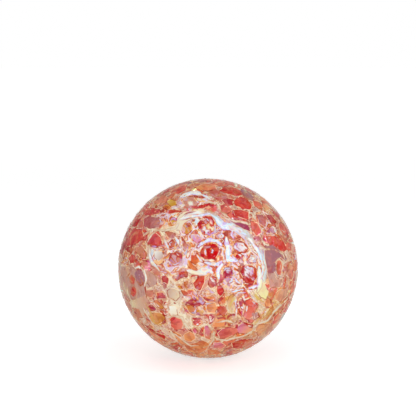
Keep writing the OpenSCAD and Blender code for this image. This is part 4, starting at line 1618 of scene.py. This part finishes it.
glasses = {}
chipPieces = []
for node, (name, palette, slotName, shatterShare) in chipNodes.items():
    piece = dressChips(node, name, shatterShare)
    if palette not in glasses:
        glasses[palette] = chipMaterial(palette + "Glass", palettes[palette], *hearts[palette])
    piece.data.materials.append(glasses[palette])
    paintAll(piece)
    chipPieces.append(piece)
    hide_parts(node)
    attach(piece, "root")
    print(name, len(piece.data.polygons), "faces")

base = buildSkin(chipPieces)
paintStreams(base)
paintAll(base)
base.data.materials.append(veinMaterial())
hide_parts("base_gob")
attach(base, "root")
print("base glass", len(base.data.polygons), "faces")

shards = scatterShards()
shards.data.materials.append(chipMaterial("shardGlass", palettes["shard"], *hearts["shard"]))
paintAll(shards)
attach(shards, "root")
print("shards", len(shards.data.polygons), "faces")


def addCamera():
    camera = addObject("camera", bpy.data.cameras.new("camera"))
    camera.data.lens = view["lens"]
    camera.data.sensor_width = view["sensor"]
    camera.data.clip_start = 5 * mm
    lift = math.atan((view["ballDown"] - view["picture"] / 2) / (view["picture"] / 2) * tanHalf)
    up = view["elevation"]
    camera.location = (0, -cameraReach() * math.cos(up), cameraReach() * math.sin(up))
    camera.rotation_euler = (math.pi / 2 - up + lift, 0, 0)
    bpy.context.scene.camera = camera


# the surroundings, in shares of white; lengths in metres
studio = {
    "floorSize": 3,
    "floor": 0.8,
    "glow": 0.65,  # the floor's own white, as the camera sees it
    "farGlow": 0.13,  # what it gains with the distance, because the lamps don't reach as far as the floor
    "far": (0.12, 0.6),
    "ambient": 0.3,  # what the world sends on the ball
    "backdrop": 0.7,  # what the camera sees of it besides
}


def seenByCamera(tree):
    # 1 for what the camera sees, also by way of shiny or clear things
    rays = newNode(tree, "LightPath").outputs
    seen = combine(tree, "MAXIMUM", rays["Is Camera Ray"], rays["Is Glossy Ray"])
    return combine(tree, "MAXIMUM", seen, rays["Is Transmission Ray"])


def addFloor():
    deselectAll()
    bpy.ops.mesh.primitive_plane_add(size=studio["floorSize"], location=(0, 0, -ballRadius))
    floor = bpy.context.object
    floor.name = "floor"
    material, tree, shader = newMaterial("paleFloor")
    place = newNode(tree, "TexCoord").outputs["Object"]
    far = fade(tree, vectorMath(tree, "LENGTH", place, (0, 0, 0)).outputs["Value"], *studio["far"])
    glow = plus(tree, times(tree, far, studio["farGlow"]), studio["glow"])
    fillSockets(tree, shader, {
        "Base Color": (studio["floor"], studio["floor"], studio["floor"], 1), "Roughness": 1,
        "Specular IOR Level": 0, "Emission Color": (1, 1, 1, 1),
        "Emission Strength": times(tree, glow, seenByCamera(tree))})
    floor.data.materials.append(material)


def addWorld():
    world = bpy.data.worlds.new("studio")
    bpy.context.scene.world = world
    world.use_nodes = True
    tree = world.node_tree
    strength = plus(tree, times(tree, seenByCamera(tree), studio["backdrop"]), studio["ambient"])
    fillSockets(tree, tree.nodes["Background"], {"Color": (1, 1, 1, 1), "Strength": strength})


def addLamp(name, place, size, strength, upward=(0, 0, 1), glossy=True):
    # aimed at the ball's centre; strength is the lamp's own brightness, in shares of the background's white
    data = bpy.data.lights.new(name, "AREA")
    data.shape = "RECTANGLE"
    data.size, data.size_y = size
    data.energy = strength * math.pi * size[0] * size[1]
    lamp = addObject(name, data)
    back = Vector(place).normalized()
    across = Vector(upward).cross(back).normalized()
    axes = Matrix((across, back.cross(across), back)).transposed()
    lamp.matrix_world = Matrix.Translation(place) @ axes.to_4x4()
    lamp.visible_camera = False
    lamp.visible_glossy = glossy


def reflected(across, up, distance):
    # where a lamp stands whose reflection shows at this place of the ball
    normal = facing(across, up)
    toCamera = (bpy.context.scene.camera.location - normal * ballRadius).normalized()
    direction = normal * 2 * normal.dot(toCamera) - toCamera
    return normal * ballRadius + direction * distance


# a bent strip lamp, given by the places of its reflection on the ball: across and up, as shares of the radius
strip = {
    "path": [(-0.28, 0.53), (-0.12, 0.575), (0.03, 0.59), (0.16, 0.49), (0.3, 0.46), (0.42, 0.38),
             (0.5, 0.28), (0.57, 0.17), (0.605, 0.03), (0.6, -0.1)],
    "distance": 0.12,
    "width": 0.01,
    "overlap": 1.05,  # the parts' length, as a share of the distance between their places
    "strength": 3.0,
}


def addStripLamp():
    places = [reflected(across, up, strip["distance"]) for across, up in strip["path"]]
    for a, b in zip(places, places[1:]):
        size = ((b - a).length * strip["overlap"], strip["width"])
        addLamp("stripLamp", (a + b) / 2, size, strip["strength"], upward=(a + b).cross(b - a))


# soft boxes: where each one's reflection would lie on a smooth ball, its distance, size and brightness
softBoxes = [
    ("boxTopLeft", (-0.32, 0.6), 0.42, (0.04, 0.2), 4.4),
    ("boxTop", (0.1, 0.66), 0.42, (0.2, 0.02), 3.4),
    ("boxRight", (0.62, 0.34), 0.42, (0.05, 0.2), 5),
    ("boxLeft", (-0.66, 0.05), 0.42, (0.05, 0.2), 7),
    ("boxFront", (0.2, 0.12), 0.3, (0.02, 0.02), 28),
    ("boxFrontLeft", (-0.25, 0.1), 0.3, (0.015, 0.04), 19),
]

# small soft lamps that give the chips their sparkle, given by the places of their reflections
sparkle = {
    "places": [(-0.45, 0.66), (-0.13, 0.86), (0.38, 0.66), (0.3, 0.8), (-0.35, 0.25), (-0.5, 0.63),
               (0.72, 0.42), (0.36, 0.24), (-0.07, -0.2), (0.44, -0.44), (0.05, 0.2)],
    "distance": 0.3,
    "size": (0.006, 0.006),
    "strength": 32,
}

# a low lamp that lights the ball's front and leaves no reflection
frontLamp = {"place": (0.05, -0.5, 0.01), "size": (0.4, 0.1), "strength": 13.5}

addCamera()
addFloor()
addWorld()
addStripLamp()
for name, place, distance, size, strength in softBoxes:
    addLamp(name, reflected(*place, distance), size, strength)
for place in sparkle["places"]:
    addLamp("sparkleLamp", reflected(*place, sparkle["distance"]), sparkle["size"], sparkle["strength"])
addLamp("softFront", frontLamp["place"], frontLamp["size"], frontLamp["strength"], glossy=False)
bpy.context.scene.view_settings.view_transform = "Standard"
print("camera, floor, world and lamps stand")
